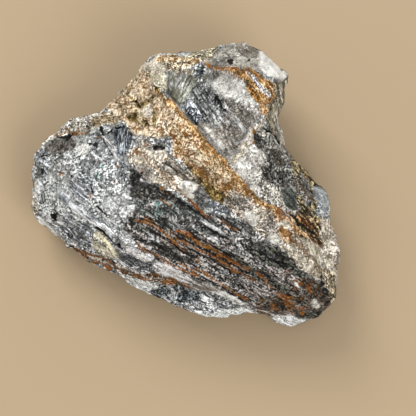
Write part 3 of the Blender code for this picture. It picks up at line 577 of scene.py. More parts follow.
    ("creamWhite", 0.3, [(-9.6, 8.2), (-7, 8.7), (-5, 8.5), (-4, 7.2), (-5.6, 6.2), (-8.6, 6.4)]),
    ("creamWhite", 0.2, [(-13.2, 7.8), (-10.8, 7.2), (-9.6, 5.9), (-11.4, 6.2), (-13.4, 5.8)]),
    ("veinGrey", 0.2, [
        (-12.4, 4.6), (-10.6, 5.6), (-8.6, 4.6), (-8.2, 2.6), (-9.6, 1.2), (-11.6, 1.6), (-12.6, 3),
    ]),
    ("veinShade", -0.2, [
        (-6.8, 4.4), (-5.2, 5.9), (-3, 5.6), (-1, 4.1), (1, 2.3), (2.8, 0.9), (0.5, 1.2), (-2, 2.2),
        (-4.5, 2.6),
    ]),
    ("milky", 0.2, [
        (-0.9, 0.9), (1.5, 0.9), (3.8, -0.6), (2.9, -1.6), (2.4, -3.8), (1, -3.7), (-0.6, -2.7),
        (-1.6, -0.8),
    ]),
    ("veinShade", -0.3, [(-9.4, 9.2), (-7.2, 10.5), (-5.6, 10), (-5.7, 9.2), (-6.5, 8.8), (-8.4, 8.7)]),
    ("slate", 0, [
        (2.5, -1.6), (4, -0.8), (5.6, -1.8), (7, -3.6), (6, -4.4), (6.2, -6.2), (4.8, -6.9), (3.2, -5.1),
        (2.3, -3.6),
    ]),
    ("bluish", 0.1, [
        (6.2, -4.4), (8.6, -4.2), (10.2, -5.8), (12, -7.4), (9.8, -8.2), (7.6, -7.6), (6.3, -6.3),
    ]),
    ("veinCream", 0.1, [
        (10.4, -5.2), (11.6, -3), (11.4, -2), (13.8, -1.9), (13.4, -3.6), (16, -3.4), (19, -5.5),
        (22, -6.6), (25, -6.6), (28.6, -11.4), (31.6, -16.6), (36, -22), (36, -25.4), (33, -24.2),
        (30, -22), (27.8, -19.8), (25.4, -17.2), (22.4, -15), (18.6, -12.2), (15.2, -9.4), (12.4, -7.4),
    ]),
    ("veinGrey", 0.2, [
        (11, -4.2), (13.5, -3.4), (17.3, -3.9), (18.7, -4.9), (17.7, -6.7), (15.6, -7.4), (13.1, -6.3),
    ]),
    ("creamWhite", 0.2, [(18.6, -6.6), (20, -5.8), (22, -7), (21.4, -8.6), (19.6, -8.2)]),
    ("milky", 0.4, [(15.6, -7.7), (17.7, -7), (19.4, -8.4), (19.1, -10.8), (18, -11.9), (16.3, -9.8)]),
    ("veinGrey", 0, [(20, -9.6), (22.8, -8.8), (24.6, -11.4), (24, -13.8), (21.8, -13.6), (19.8, -11.8)]),
    ("veinOrange", 0.1, [(21.8, -6.4), (24, -6.3), (26, -8.4), (27.2, -10), (25.2, -10.2), (23.6, -8.8)]),
    ("creamWhite", 0.1, [(24.4, -9.8), (26.4, -9.6), (28.2, -10.9), (28, -12), (25.6, -11.4)]),
    ("veinOrange", 0.1, [
        (24.4, -11.6), (26, -11), (28, -12.4), (28.6, -14.8), (26.6, -15.6), (24.6, -13.6),
    ]),
    ("milky", 0.3, [(21.8, -13.6), (24, -13.4), (26.2, -15), (25.7, -16.2), (23.5, -15.9), (21.4, -14.4)]),
    ("creamWhite", 0.2, [
        (26, -16), (28, -16.2), (30.4, -17.8), (32.6, -20.6), (34, -23), (33, -23.8), (30.6, -22),
        (28.4, -19.6), (26.6, -17.8),
    ]),
    ("veinGreen", 0.1, [
        (30.4, -14.8), (32, -14.2), (34.2, -15.6), (36.6, -17), (37.6, -19.5), (38.2, -22.4), (36.4, -22),
        (34, -18.8), (31.6, -16.4),
    ]),
    ("eastRust", 0, [
        (28.8, -12), (31, -12.4), (34.6, -13.8), (37, -15.6), (36, -16.8), (33.4, -15), (30.6, -14.8),
        (29.6, -14),
    ]),
    # streaked face
    ("streaked", 0, [
        (-14.2, -8.6), (-12, -6), (-10, -4), (-4, -4), (0, -4.8), (4, -7.4), (8, -8.3), (12, -8.3),
        (15.4, -9.8), (18.8, -12.6), (22, -15.2), (26, -18.4), (29, -21.4), (31.6, -24.2), (35.4, -25.6),
        (38, -29), (38, -33), (36.4, -36), (30, -35.2), (22, -34.8), (17, -32), (10, -28.4), (5, -26),
        (0, -24), (-6, -21.2), (-8, -20), (-12, -17.4), (-15.4, -15), (-17, -12),
    ]),
    ("darkPatch", -0.1, [
        (-14.3, 4), (-12.6, 4.2), (-11.6, 2), (-10, 0.8), (-7, -0.2), (-4, -2.2), (-1, -4.2), (1.5, -5.6),
        (-2, -5.4), (-5, -5), (-8, -4), (-11, -4.1), (-13.8, -3.9), (-14.3, 0),
    ]),
    ("centreGrey", 0, [
        (-13.4, -4.2), (-8, -4.2), (-5, -5), (-1.6, -5.4), (2.6, -7), (6, -9), (9.4, -11), (11, -14),
        (8, -13.6), (4, -12.6), (0, -12), (-4.6, -11.6), (-8, -9.6), (-11, -8), (-12.8, -6.2),
    ]),
    ("streakedPale", 0, [(-11, -5), (-8, -4.6), (-6, -6), (-8, -7), (-11, -6.8)]),
    ("streakedPale", 0, [
        (-5, -8), (-1, -8.6), (3, -9.2), (6, -9.8), (9, -12), (6, -11.6), (2, -11.2), (-3, -11.4),
        (-4.8, -10),
    ]),
    ("darkPatch", -0.1, [(-8.4, -9.2), (-6, -8.6), (-4.6, -9.2), (-5, -12.2), (-7, -11)]),
    ("slate", 0, [
        (8.6, -8.4), (12, -8.2), (15, -9.6), (17.8, -12.2), (16, -12.8), (13, -11.6), (10.2, -10.4),
    ]),
    ("streakedPale", 0.1, [
        (11.6, -13), (15, -13), (18, -12.9), (21.2, -14), (22, -15.4), (19, -15.8), (17.4, -17.6),
        (15.6, -19.4), (13.4, -18.4), (12.2, -15.8),
    ]),
    ("blackBand", -0.1, [
        (15.4, -16.6), (18, -15.6), (22, -16), (25, -17.4), (27.6, -19.5), (30.2, -22), (31.6, -25),
        (28.5, -24), (25.5, -22.6), (22, -21.3), (19, -19.6), (17, -18.4),
    ]),
    ("streakedRust", -0.1, [
        (-12.6, -9.4), (-10, -8.8), (-6, -11.4), (-2.4, -12), (2, -13), (8, -16), (14, -19.8),
        (20, -23.6), (24, -27.2), (21, -27), (16, -24.4), (11, -21.6), (6, -19.4), (2, -18), (-2, -17.4),
        (-6, -15.2), (-10, -12.6),
    ]),
    ("blackBand", -0.1, [
        (-14, -9.2), (-12, -9), (-10.4, -10.6), (-8, -12.8), (-6.4, -14.6), (-9, -14.4), (-11.8, -12.6),
        (-14, -11),
    ]),
    ("streakedPale", 0, [(-9.8, -13.2), (-8, -13.2), (-6, -14.6), (-7, -15.6), (-9.6, -14.8)]),
    ("darkPatch", 0, [
        (-6, -16), (-3, -16.6), (0, -18.6), (3, -20.6), (0, -20.8), (-4, -19.6), (-7.4, -18),
    ]),
    ("blackBand", -0.1, [
        (10, -17.4), (14, -19), (18, -21.8), (22, -24), (26, -26.4), (29.4, -29), (29, -31), (26, -29.4),
        (22, -26.8), (18, -24.6), (14, -21.6), (11, -19.4),
    ]),
    ("streakedPale", 0, [
        (8, -22.6), (12, -22.6), (16, -25), (19, -27.6), (15, -27.4), (11, -25.4), (8, -24),
    ]),
    ("tip", 0, [
        (25, -24), (28, -23.4), (31.4, -24.4), (35.4, -25.6), (38, -29), (38.4, -33), (36.4, -36),
        (32, -35.6), (28, -34.4), (23, -34), (19, -32.4), (20, -29.4), (24, -30), (28, -30.6),
        (28.6, -28),
    ]),
    ("blackBand", 0, [(30, -33.8), (33, -33.6), (36, -34.4), (35.6, -36), (32.6, -35.4), (30.4, -34.8)]),
    ("milky", 0.1, [(33, -30.6), (34.4, -30.2), (35.8, -32), (35.4, -33.2), (34, -32.6)]),
    # lower south-west face and the pale foot
    ("paleFoot", 0, [
        (-31, -14.6), (-24, -18), (-17, -20), (-8, -20), (0, -24), (5, -26), (10, -28.4), (17, -32),
        (19, -36), (0, -38), (-20, -30), (-36, -16),
    ]),
    ("blackBlock", -0.1, [
        (-17.4, -18.6), (-15.4, -18.4), (-14, -19.2), (-13, -20), (-11, -20.1), (-8, -19.7), (-7.6, -21),
        (-7.9, -23.8), (-10, -23), (-12.5, -22.3), (-15, -21.4), (-17.2, -20.2),
    ]),
    ("lens", 0.2, [
        (-18.6, -16), (-16, -16.3), (-13.6, -17.3), (-11, -17.8), (-9, -18.7), (-7.5, -19.8),
        (-9.6, -20.1), (-12, -19.3), (-13.6, -19), (-15, -18.3), (-17, -17.8),
    ]),
    ("paleGlow", 0, [
        (-18.6, -13.6), (-15.4, -15), (-12, -17.2), (-12.6, -15.6), (-15, -12.6), (-17, -12.2),
    ]),
    ("lens", 0.1, [
        (-7.6, -20.3), (-4, -21.5), (-1.4, -22.9), (0.6, -24.3), (3.4, -25.6), (0, -25.7), (-3, -24.9),
        (-6, -23.9), (-8, -23.2), (-8.3, -21.3),
    ]),
    ("yellowBlock", 0.1, [
        (-24, -13.2), (-22.7, -12.2), (-21.4, -13.3), (-19.4, -15.4), (-18, -17.3), (-16.6, -19.6),
        (-18.5, -20), (-20.5, -19.3), (-22.6, -18.2), (-24, -16.6),
    ]),
    ("yellowEdge", 0.1, [
        (-23.5, -13.3), (-22.6, -12.2), (-20.6, -14.2), (-18.3, -17.4), (-17.7, -19.3), (-19.3, -17.8),
        (-21, -15.5), (-22.5, -14.2),
    ]),
    ("ledgeGrey", 0, [
        (-2, -25.6), (2, -25.8), (6, -26.8), (10, -28.1), (6, -28.6), (2, -28.2), (-2, -27.2),
    ]),
    ("ledgeBrown", -0.1, [
        (-31, -16), (-27, -17.3), (-22, -19), (-18, -20.9), (-15, -22.2), (-10, -23.6), (-6, -24.6),
        (-2, -25.8), (1, -27), (-2, -27.4), (-8, -26), (-14, -24.6), (-18, -23.6), (-22, -22.6),
        (-26, -20.8), (-30, -18),
    ]),
    ("paleFoot", 0, [
        (-24, -21.4), (-21.6, -20.9), (-19.4, -22), (-17, -23.4), (-17.6, -24.6), (-22, -23.2),
    ]),
    ("whiteEdge", 0.1, [
        (-17.2, -23.8), (-14, -24.7), (-10, -25.6), (-7.2, -26.5), (-6.8, -28), (-9.8, -29.4),
        (-13.5, -28.4), (-16.5, -26),
    ]),
    ("blackGlint", 0, [
        (-9.8, -28.5), (-7, -27.4), (-4, -26.9), (-1, -27), (2, -28), (4.7, -29.5), (4, -31), (0, -31.2),
        (-3, -31), (-7, -31),
    ]),
    ("bluePale", 0.2, [(-4.6, -29), (-3.2, -28.6), (-2.1, -29.3), (-1.9, -30.4), (-3.8, -30.6)]),
    ("whiteEdge", 0.1, [
        (1, -33), (4, -33.8), (7, -34), (12, -32.8), (16, -32.6), (18.6, -33.8), (18, -36), (8, -37),
        (2, -35.6),
    ]),
    ("whiteEdge", 0.1, [
        (6.4, -28.6), (10, -28.4), (13.4, -29.8), (16.6, -31.8), (15.4, -32.4), (12.4, -31), (9.4, -29.6),
    ]),
    # Brown at the low east end: rust, and painted shadow where the stone meets the floor.
    ("ledgeBrown", 0, [(18.4, -32.8), (20, -32.9), (23, -34), (23.4, -36), (20, -35), (18.6, -34.2)]),
    ("whiteEdge", 0.1, [
        (23.4, -34.6), (26, -34.9), (30, -35.3), (32.8, -35.8), (33, -37.4), (29.5, -38.6), (25, -38),
        (23.2, -36.4),
    ]),
]

# Narrow strokes: (what, width in mm, depth in mm, its route).
strokes = [
    ("crestEdge", 0.9, 0, [
        (-7.6, 24.5), (-5.6, 22.3), (-2.3, 19.8), (1.6, 15.3), (5.6, 10.9), (9.6, 6.4), (12.4, 3.2),
        (16.1, -1), (19.6, -4.6), (24.2, -6.8),
    ]),
    ("whiteThread", 0.6, -0.1, [(20.7, 18), (18.4, 15.6), (15.9, 12.6), (13.6, 9.4), (11.6, 6.8)]),
    ("rust", 0.7, 0.1, [(24.2, -5.6), (25, -7.6), (25.8, -9.8)]),
    ("rust", 0.8, 0.1, [(25.8, -11.6), (27.2, -13.4), (29, -15.4), (30.2, -16.8)]),
    ("rust", 0.6, 0.1, [(28.8, 2.4), (31, -0.6), (33, -4.4)]),
    ("rust", 0.6, 0.1, [(29, -8), (31.6, -10.4), (34, -13)]),
    ("rust", 0.5, 0.1, [(30, -8.4), (32.8, -10.6), (35.6, -14)]),
    ("black", 0.5, 0.2, [(30, -4.6), (32, -7.4), (35, -9.6)]),
    # Crevices in the cream corner: grooves darkened with painted shade.
    ("olive", 0.6, 0.5, [(-14.5, 26), (-15.2, 23.6), (-13.4, 21.4), (-11.6, 20.3)]),
    ("olive", 0.5, 0.4, [(-18.6, 21.6), (-16.4, 20.6), (-15, 18.4)]),
    ("olive", 0.5, 0.4, [(-11, 20.6), (-11.4, 18.4), (-10.2, 15.8)]),
    ("olive", 0.6, 0.5, [(-14.4, 17.6), (-11.6, 16), (-9.4, 15.4)]),
    ("tanThread", 0.5, 0, [(23.6, -6), (26, -7.6), (28.2, -10.6), (29.4, -13)]),
    ("tanThread", 0.35, 0.1, [(-13.1, 9), (-8.8, 5.5), (-3.7, 0.8), (0.2, -3), (3, -6), (5, -8.5)]),
    ("tanThread", 0.45, 0.1, [(28.4, -14.4), (31, -17), (34, -20), (36.2, -22.8)]),
    ("tanThread", 0.4, 0.1, [(30, -12.6), (33, -14.4), (35.4, -16.6)]),
    ("tanThread", 0.4, 0, [(-34, 12.7), (-30, 13.2), (-26, 13.2)]),
    ("teal", 0.4, 0, [(-7.6, -4.4), (-7.2, -6.4), (-6.5, -9.6)]),
    ("whiteThread", 0.7, -0.1, [(-22.4, 14.4), (-20.6, 11), (-19.2, 8.6)]),
    ("whiteThread", 0.7, -0.1, [(-20.6, 12.8), (-19.2, 9.6), (-17.8, 6.2)]),
    ("black", 0.5, 0.2, [(-21.4, 12), (-20.2, 9.6), (-19, 7)]),
    ("whiteThread", 0.4, 0, [
        (-31.8, 1), (-30.2, -1.8), (-27.7, -4.3), (-25.5, -5.6), (-24.7, -4.3), (-26.4, -1.8), (-29, 0.8),
        (-31.2, 1.4),
    ]),
    ("whiteThread", 0.4, 0, [(-34, -2.2), (-32.2, -1.2), (-30, -3.4)]),
    ("whiteThread", 0.5, 0, [(-4.4, -26.9), (-3.6, -27.8), (-2.9, -28.9)]),
    ("whiteThread", 0.35, 0, [(-1, -27.6), (-2.6, -28.9), (-4.2, -28.4)]),
    ("whiteThread", 0.4, 0, [(-5.2, -30), (-3.4, -31), (-1.4, -31.2)]),
    ("whiteThread", 0.6, -0.1, [(10.2, 20.9), (11.2, 19.2), (13.1, 17.1), (15.2, 14.2)]),
    ("whiteThread", 0.35, 0, [(8.6, 17.6), (10.4, 16.4), (12.4, 15.6)]),
    ("whiteThread", 0.35, 0, [(-17.6, 7), (-17.2, 4), (-17.8, 1)]),
    ("whiteThread", 0.35, 0, [(-16.2, 7.4), (-15, 4.6), (-14.6, 1.6)]),
    ("whiteThread", 0.4, 0, [(-13.4, 9.6), (-12.2, 11.4), (-10.4, 12.6)]),
    ("whiteThread", 0.35, 0, [(-12.4, 5), (-12.6, 2.8), (-11.4, 0.9), (-9.4, 0.6), (-8.2, 2), (-8.2, 4)]),
    ("whiteThread", 0.4, 0, [(-35, -12), (-32.4, -13.6), (-30, -16)]),
    ("whiteThread", 0.4, 0, [(-33, -10), (-30.6, -12), (-28.5, -14.5)]),
    ("whiteThread", 0.25, 0, [(-16.2, 14.6), (-16.2, 12), (-16.5, 9)]),
    ("whiteThread", 0.15, 0, [(-14.9, 14.6), (-15, 11.6)]),
    ("whiteThread", 0.7, 0, [(-3.8, 25.6), (-3, 27.6), (-2, 29)]),
    ("whiteThread", 0.5, 0, [(-2.4, 25.4), (-1.4, 28.6)]),
    ("whiteThread", 0.7, 0, [(-1.1, 25.4), (0.4, 28.4)]),
    ("whiteThread", 0.6, 0, [(5.2, 29.2), (7, 30.1), (9.2, 29.9), (10.8, 29)]),
    ("whiteThread", 0.35, 0, [(6.9, 22.9), (8.7, 19.2)]),
    ("whiteThread", 0.5, 0, [(12, 18), (13.4, 15.6), (15.6, 13.8)]),
    ("whiteThread", 0.5, 0, [(22.8, 12.4), (24.4, 10.6), (25.8, 9.2)]),
    ("whiteThread", 0.6, 0, [(24, 19), (24.8, 14.2), (26, 10.6)]),
    ("whiteThread", 0.8, 0, [(4.8, -9.8), (7.2, -11.2), (9.6, -13.2)]),
    ("whiteThread", 0.5, 0, [(-17.6, -20.4), (-15, -22), (-12.6, -23.4)]),
    ("whiteThread", 0.4, 0, [(-5, -24.3), (-1.6, -25.6), (2, -26.2)]),
    ("whiteThread", 0.6, 0, [(28.8, -24.2), (30, -26.6), (31, -28.6)]),
    ("black", 0.8, 0.3, [(-1.5, -4.7), (0.5, -5.9), (2.3, -7), (4.6, -8.4)]),
    ("black", 0.6, 0.3, [(4, -10.8), (7, -12.2), (9.8, -14.4)]),
    ("black", 0.5, 0.3, [(-25.9, 0.4), (-24.9, -1), (-24.4, -2.6)]),
    ("black", 0.7, 0.4, [(-23.2, -11.7), (-21.2, -13), (-19.4, -14.6), (-17.4, -16.6)]),
    ("black", 0.5, 0.2, [(-13.6, -14.8), (-10.6, -15), (-8, -16.2), (-5, -17.8)]),
    # Painted shade in the crevice between the dark facet and the white patch.
    ("black", 1, 0.4, [(6.2, 25), (7.6, 23.2), (8.9, 21.4), (9.9, 19.6)]),
    ("black", 0.4, 0.2, [(7.3, 22), (8.1, 20.4), (8.5, 19)]),
    # Painted shadow under the overhanging edge above the prism.
    ("black", 0.6, 0.3, [(-20, 13), (-18, 14.8), (-16, 15.6)]),
    ("black", 0.7, 0.3, [(-22, 14.6), (-21.3, 12.8)]),
    ("black", 0.7, 0.3, [(0.6, 19), (1.8, 17.2), (3.2, 15.8)]),
    # Painted shade in the crevice of the north-west face.
    ("black", 0.6, 0.3, [(-33.6, 12.3), (-31, 12), (-28.8, 12.8)]),
    # Painted shade in a pit of the vein.
    ("black", 0.8, 0.3, [(-8.4, 9.7), (-6.6, 9.9), (-5.6, 9.4)]),
    ("black", 0.6, 0.2, [(21.4, 14.4), (23.4, 12.6), (25, 10.4)]),
    ("black", 0.8, 0.3, [(28.6, -8.6), (30.4, -10.4), (32.4, -11.6), (35, -13.8)]),
    ("black", 0.7, 0.2, [(34.6, -22.6), (35.8, -25.4), (37, -28.4)]),
    ("black", 0.6, 0.2, [(-23.5, -6), (-21.6, -7.4), (-20.4, -8.2)]),
    ("black", 0.5, 0.2, [(10, -9.2), (13, -11), (15, -12.8)]),
    ("black", 0.7, 0.2, [(20, -17.8), (24, -20.4), (28, -23)]),
    ("black", 0.5, 0.2, [(2, -13.6), (6, -15.6), (10, -17.8), (13, -19.6)]),
    ("black", 0.5, 0.2, [(1, -15), (5, -17), (9, -19.2), (13, -21.4), (17, -23.6)]),
    ("black", 0.4, 0.2, [(0, -16.6), (4, -18.4), (8, -20.8), (12, -23.4)]),
    ("black", 0.5, 0.2, [(-8, -12.6), (-5, -14.6), (-2, -17), (2, -19.4)]),
    ("black", 0.5, 0.2, [(4, -24.2), (8, -26.4), (12, -28.8), (16, -31)]),
    ("black", 0.5, 0.2, [(14, -15.4), (18, -17.2), (22, -19), (26, -21.6)]),
    ("black", 0.5, 0.2, [(-5, -2), (-2, -4), (0.6, -5.4)]),
    ("rust", 0.7, 0.1, [(-12, -10), (-10.5, -10.3), (-9.4, -11), (-8.4, -11.8)]),
    ("rust", 0.7, 0.2, [
        (-10.5, -9), (-9.2, -10.2), (-7.8, -11.3), (-6, -12.4), (-4.4, -13.6), (-2.6, -15.4),
    ]),
    ("rust", 0.8, 0.2, [(-2.4, -15.6), (-1.4, -16.6), (-0.4, -17.6), (0.2, -18)]),
    ("rust", 0.6, 0.1, [(-1.8, -14.6), (-0.8, -15.2), (0.4, -15.6)]),
    ("rust", 1.15, 0.2, [
        (-2, -12.3), (-0.2, -12.8), (1.4, -13.8), (3, -15), (4.4, -15.7), (6, -16.6), (8, -17.9),
        (10, -19.2), (12, -20.4), (14, -21.5), (16.5, -22.4),
    ]),
    ("rust", 0.75, 0.2, [
        (2.4, -16.4), (4.4, -17.3), (6.2, -18.4), (8, -19.3), (10, -20.8), (12.4, -22.4), (15, -23.8),
        (18, -25.4),
    ]),
    ("rust", 0.6, 0.1, [(7, -20.2), (9, -21.4), (11, -22.6), (13, -23.2)]),
    ("rust", 0.75, 0.2, [
        (-12.2, -16.2), (-11.2, -17), (-10, -17.6), (-8.6, -18.5), (-7.4, -19.2), (-6.2, -19.6),
    ]),
    ("rust", 0.7, 0.2, [
        (-5.4, -20.2), (-4, -21), (-2.6, -21.7), (-1.2, -22.4), (0.4, -23.3), (2.4, -23.9),
    ]),
    ("rust", 0.7, 0.1, [(-1.6, -20.8), (0.5, -21.9), (2, -23), (3, -24)]),
    ("rust", 0.75, 0.2, [
        (3.4, -22.4), (5, -23), (5.8, -23.8), (7.4, -25), (9, -26.2), (10.4, -27.2), (12.4, -28.2),
        (14.6, -29.4), (16.8, -30.6),
    ]),
    ("rust", 0.5, 0.1, [(1.4, -18.6), (2.6, -19.6), (4, -21)]),
    ("rust", 0.7, 0.1, [(-6.4, -1), (-4.8, -2.3), (-3.3, -3.4)]),
    ("rust", 0.5, 0.1, [(-6.5, -4), (-5.2, -4.8), (-3.6, -6)]),
    ("rust", 0.7, 0.1, [(0, -3), (1.6, -4.7), (3, -6), (4.4, -7.4), (5.6, -8.6)]),
    ("rust", 0.6, 0.1, [(18.6, -23.6), (21, -25.4), (23.4, -27.6)]),
    ("rust", 0.8, 0.1, [(24.6, -28.6), (26.6, -30.6), (28.6, -33)]),
    ("rust", 0.6, 0.1, [(9.6, -9.8), (11.4, -11), (13.4, -12)]),
    ("rust", 0.8, 0.2, [
        (-29, -17.2), (-26.4, -18), (-24.6, -18.6), (-22.8, -19.4), (-21, -20.4), (-18.4, -21.4),
    ]),
    ("rust", 0.7, 0.1, [(-24, -20.6), (-21.6, -21.2), (-19.6, -22.2)]),
    ("rust", 0.7, 0.1, [(-18, -22.4), (-16.6, -23), (-15.6, -23.8)]),
    ("rust", 0.7, 0.1, [(-13.6, -24), (-11, -25), (-9.8, -25.4)]),
    ("rust", 0.8, 0.1, [(-7.6, -24.4), (-5.4, -25), (-3.6, -25.4), (-2, -26.2)]),
    ("rust", 1.2, 0.1, [(-5.6, -26.2), (-4.2, -26.3), (-2.8, -26.6)]),
    ("rust", 0.5, 0.1, [(-1, -26.4), (1.6, -27.4)]),
    ("rust", 0.8, 0.1, [(29.4, -25.4), (31, -26.8), (33.4, -28.6)]),
    ("rust", 0.7, 0.1, [(16.2, 29.9), (18.2, 29.2), (19.8, 27.8)]),
    ("rust", 0.6, 0.1, [(8, 30.7), (11, 30.5), (14.4, 30.6)]),
    ("rust", 1.2, 0.2, [(-3.4, 13.4), (-1.8, 10.6), (-0.8, 8.6)]),
    ("rust", 0.5, 0.1, [(27.4, -8), (28.6, -10.6), (30.4, -13)]),
]

# Small round spots: (what, radius in mm, places).
spots = [
    ("rust", 0.55, [
        (-32.3, 2.3), (-23.9, 6.6), (-17.6, 4.6), (-28.5, 12.5), (19.4, 13), (18.4, 11.4), (27, -23.5),
    ]),
    ("rust", 0.4, [
        (-22.9, 5.6), (-18.4, 0.3), (-25, -2.5), (-23, 12.3), (20.2, 10.6), (-10.2, 10.3), (16.5, -32.5),
    ]),
    ("rust", 1.1, [(26, -31), (27.2, -30.4), (30.6, -33.2), (23.6, -32.6), (25, -7.4)]),
    ("rust", 0.7, [
        (-12.6, 8.9), (-26.4, -18.4), (-19.4, -20.9), (-3.4, 16.8), (33, -27.8), (20.6, -25),
        (-11.8, -24.3),
    ]),
    ("black", 0.8, [
        (-33.5, -9), (-37.6, 7.4), (-36.8, 2.9), (-24, 10.2), (-21.6, 13.8), (-12.4, 2.6), (-8.8, -2),
        (12.2, 31.9),
    ]),
    # The black spot at (-6, 9.6) is painted shade at the bottom of the vein's pit.
    ("black", 0.5, [
        (-3.4, 17), (-29.6, 2), (-6, 9.6), (2.4, 28.8), (17, 32.1), (-13.6, 21.6), (-30.4, 10.4), (28, 3),
        (-34, 6.2),
    ]),
    ("whiteThread", 0.6, [
        (-28.4, 11.5), (-9, -13.9), (-7.2, -14.7), (10.6, -17.6), (6.9, -14), (-36.8, 9.2), (1, 30.6),
        (3.2, 30.5),
    ]),
    ("whiteThread", 0.45, [
        (-9.8, -11.2), (2.2, -10.8), (7.8, -14.6), (-2.2, -10.6), (-2.6, -10), (-15.6, 5.2), (-22, 13.4),
        (28.6, -25.4),
    ]),
    ("teal", 0.45, [(-7.6, -4.8), (-21.6, 4.2), (-22.2, 1.6)]),
]


# How the coat is laid on.
coat = {
    "base": "paleLobe",
    "thickest": 1.1,  # how fully a stroke or spot covers at its middle
    "fade": 0.7,  # and how much of that is lost from its middle to its edge
    "softEdge": 0.2,  # mm over which two minerals blend
    "reach": (0.25, 1.0, 1.5),  # single grains go past the dark and bright tones
    "whitest": 0.95,
    "torn": 1.3,  # mm that edges are torn along the fibres
    "wandering": ((0.4, 0.9), (0.25, 1.0)),  # smooth crystals (sugar 0.4) keep straighter edges
    "strokeWander": (0.45, 0.8),
    "strokeEdge": 0.2,  # mm past its half width over which a stroke's groove fades
    "raggedAcross": [(2.6, 0.45, 51), (1.1, 0.35, 53)],  # how edges wander: (size, how far, seed) in mm
    "raggedUp": [(2.6, 0.45, 52), (1.1, 0.35, 54)],
    "tornSize": 0.9,
}


def tonesReached(codes):
    # The dark, middle and bright tones in a row, each times its reach, or less where it would pass
    # the whitest white, so that its hue stays.
    tones = [linear(code) * reach for code, reach in zip(codes.split(), coat["reach"])]
    return np.concatenate([tone * min(1, coat["whitest"] / tone.max()) for tone in tones])


tonesOf = {name: tonesReached(row[0]) for name, row in minerals.items()}
traitsOf = {name: np.array(row[1:], float) for name, row in minerals.items()}

pointsMm = points / mm


def clouds(layers):
    # Smooth noises added up: each layer is (size in mm, strength, seed).
    return sum(strength * cloudNoise(pointsMm, size, seed) for size, strength, seed in layers)


wander = clouds(coat["raggedAcross"]), clouds(coat["raggedUp"])
fibreAt = fibreCoordinates(across, up, pointsMm[:, 2])
fanned = np.ones(len(points), bool)
torn = coat["torn"] * cloudNoise(fibreAt, coat["tornSize"], 57)

# What each point carries: its three tones in one row, its traits, how many mm patches raise it or grooves
# sink it, and how fully rust and black cover it.
tones = np.tile(tonesOf[coat["base"]], (len(points), 1))
nature = np.tile(traitsOf[coat["base"]], (len(points), 1))
step = np.zeros(len(points))
stains = {"rust": np.zeros(len(points)), "black": np.zeros(len(points))}


def nearby(outline, margin, wandering, tearing):
    # The points in a box round an outline, with their places. The outline wanders, and is torn along
    # the fibres, by these shares.
    u = across + wandering * wander[0] + tearing * torn * math.cos(fibres["slope"])
    v = up + wandering * wander[1] + tearing * torn * math.sin(fibres["slope"])
    low, high = np.min(outline, axis=0) - margin, np.max(outline, axis=0) + margin
    chosen = np.flatnonzero((u > low[0]) & (u < high[0]) & (v > low[1]) & (v < high[1]))
    return chosen, u[chosen], v[chosen]


def layOn(name, chosen, cover):
    # Lays a mineral over the chosen points by these shares. Where it covers more than half of a point
    # and has a run of its own, it turns the fibres there, and the point is no longer fanned.
    tones[chosen] += cover[:, None] * (tonesOf[name] - tones[chosen])
    nature[chosen] += cover[:, None] * (traitsOf[name] - nature[chosen])
    runs = ownRuns.get(name)
    turned = chosen[cover > 0.5]
    fanned[turned] = runs is None
    if runs is not None:
        c, s = math.cos(math.radians(runs)), math.sin(math.radians(runs))
        fibreAt[turned, 0] = -s * across[turned] + c * up[turned]
        fibreAt[turned, 1] = (c * across[turned] + s * up[turned]) * fibres["stretch"]
        fibreAt[turned, 2] = 0


for name, raised, outline in areas:
    soft = coat["softEdge"]
    wandering = np.interp(traitsOf[name][1], *coat["wandering"])
    chosen, u, v = nearby(outline, soft, wandering, wandering * traitsOf[name][0])
    gap = gapTo(outline + outline[:1], u, v)
    gap = np.where(within(outline, u, v), gap, -gap)
    layOn(name, chosen, smoothstep(-soft, soft, gap))
    step[chosen] += raised * smoothstep(-soft, 2 * soft, gap)

# Sides turned away from the viewer are not in the picture. They get the same rock in slabs that follow
# the fibres, a vein of milky quartz where a coarse noise crosses its mean, and thin seams of rust.
hidden = {
    "turned": (0.17, 0.04),  # how far a point faces the viewer where this rock starts, and where it is all
    "edge": [(5.0, 0.08, 61), (1.2, 0.04, 66)],
    "alongFibres": (1, 3, 1),  # slabs and seams are less drawn out along the fibres than the patterns are
    "slabs": [
        "ledgeBrown", "streaked", "centreGrey", "flankGrey", "paleLobe", "greyPale", "farFace", "veinCream",
        "streakedPale", "eastLow", "streaked",
    ],
    "slabSize": 8.0,
    "slabShift": (0, 0, 40),
    "slabEdge": [(6.0, 0.5, 63), (1.1, 0.12, 67)],
    "slabSpread": 1.1,  # over 1 uses the first and last slab more
    "vein": [(13.0, 1.0, 68), (2.0, 0.1, 69)],
    "veinHalf": (0.1, 0.07),  # how near the noise is to its mean where the vein ends, and where it is full
    "seamSize": 7.0,
    "seamHalf": 0.08,
    "seamRust": 0.75,
}

away = smoothstep(*hidden["turned"], facing + clouds(hidden["edge"]))
drawnOut = fibreAt * hidden["alongFibres"]
slab = cloudNoise(drawnOut + hidden["slabShift"], hidden["slabSize"], 62) + clouds(hidden["slabEdge"])
count = len(hidden["slabs"])
rank = np.clip((slab * hidden["slabSpread"] + 1) / 2 * count, 0, count - 1e-6).astype(int)
for k, name in enumerate(hidden["slabs"]):
    chosen = np.flatnonzero((rank == k) & (away > 0))
    layOn(name, chosen, away[chosen])
vein = np.abs(clouds(hidden["vein"]))
chosen = np.flatnonzero((vein < hidden["veinHalf"][0]) & (away > 0))
layOn("milky", chosen, away[chosen] * smoothstep(*hidden["veinHalf"], vein[chosen]))
seam = np.abs(cloudNoise(fibreAt * hidden["alongFibres"], hidden["seamSize"], 71))
stains["rust"] = hidden["seamRust"] * away * smoothstep(hidden["seamHalf"], 0.0, seam)
painted = 1 - away


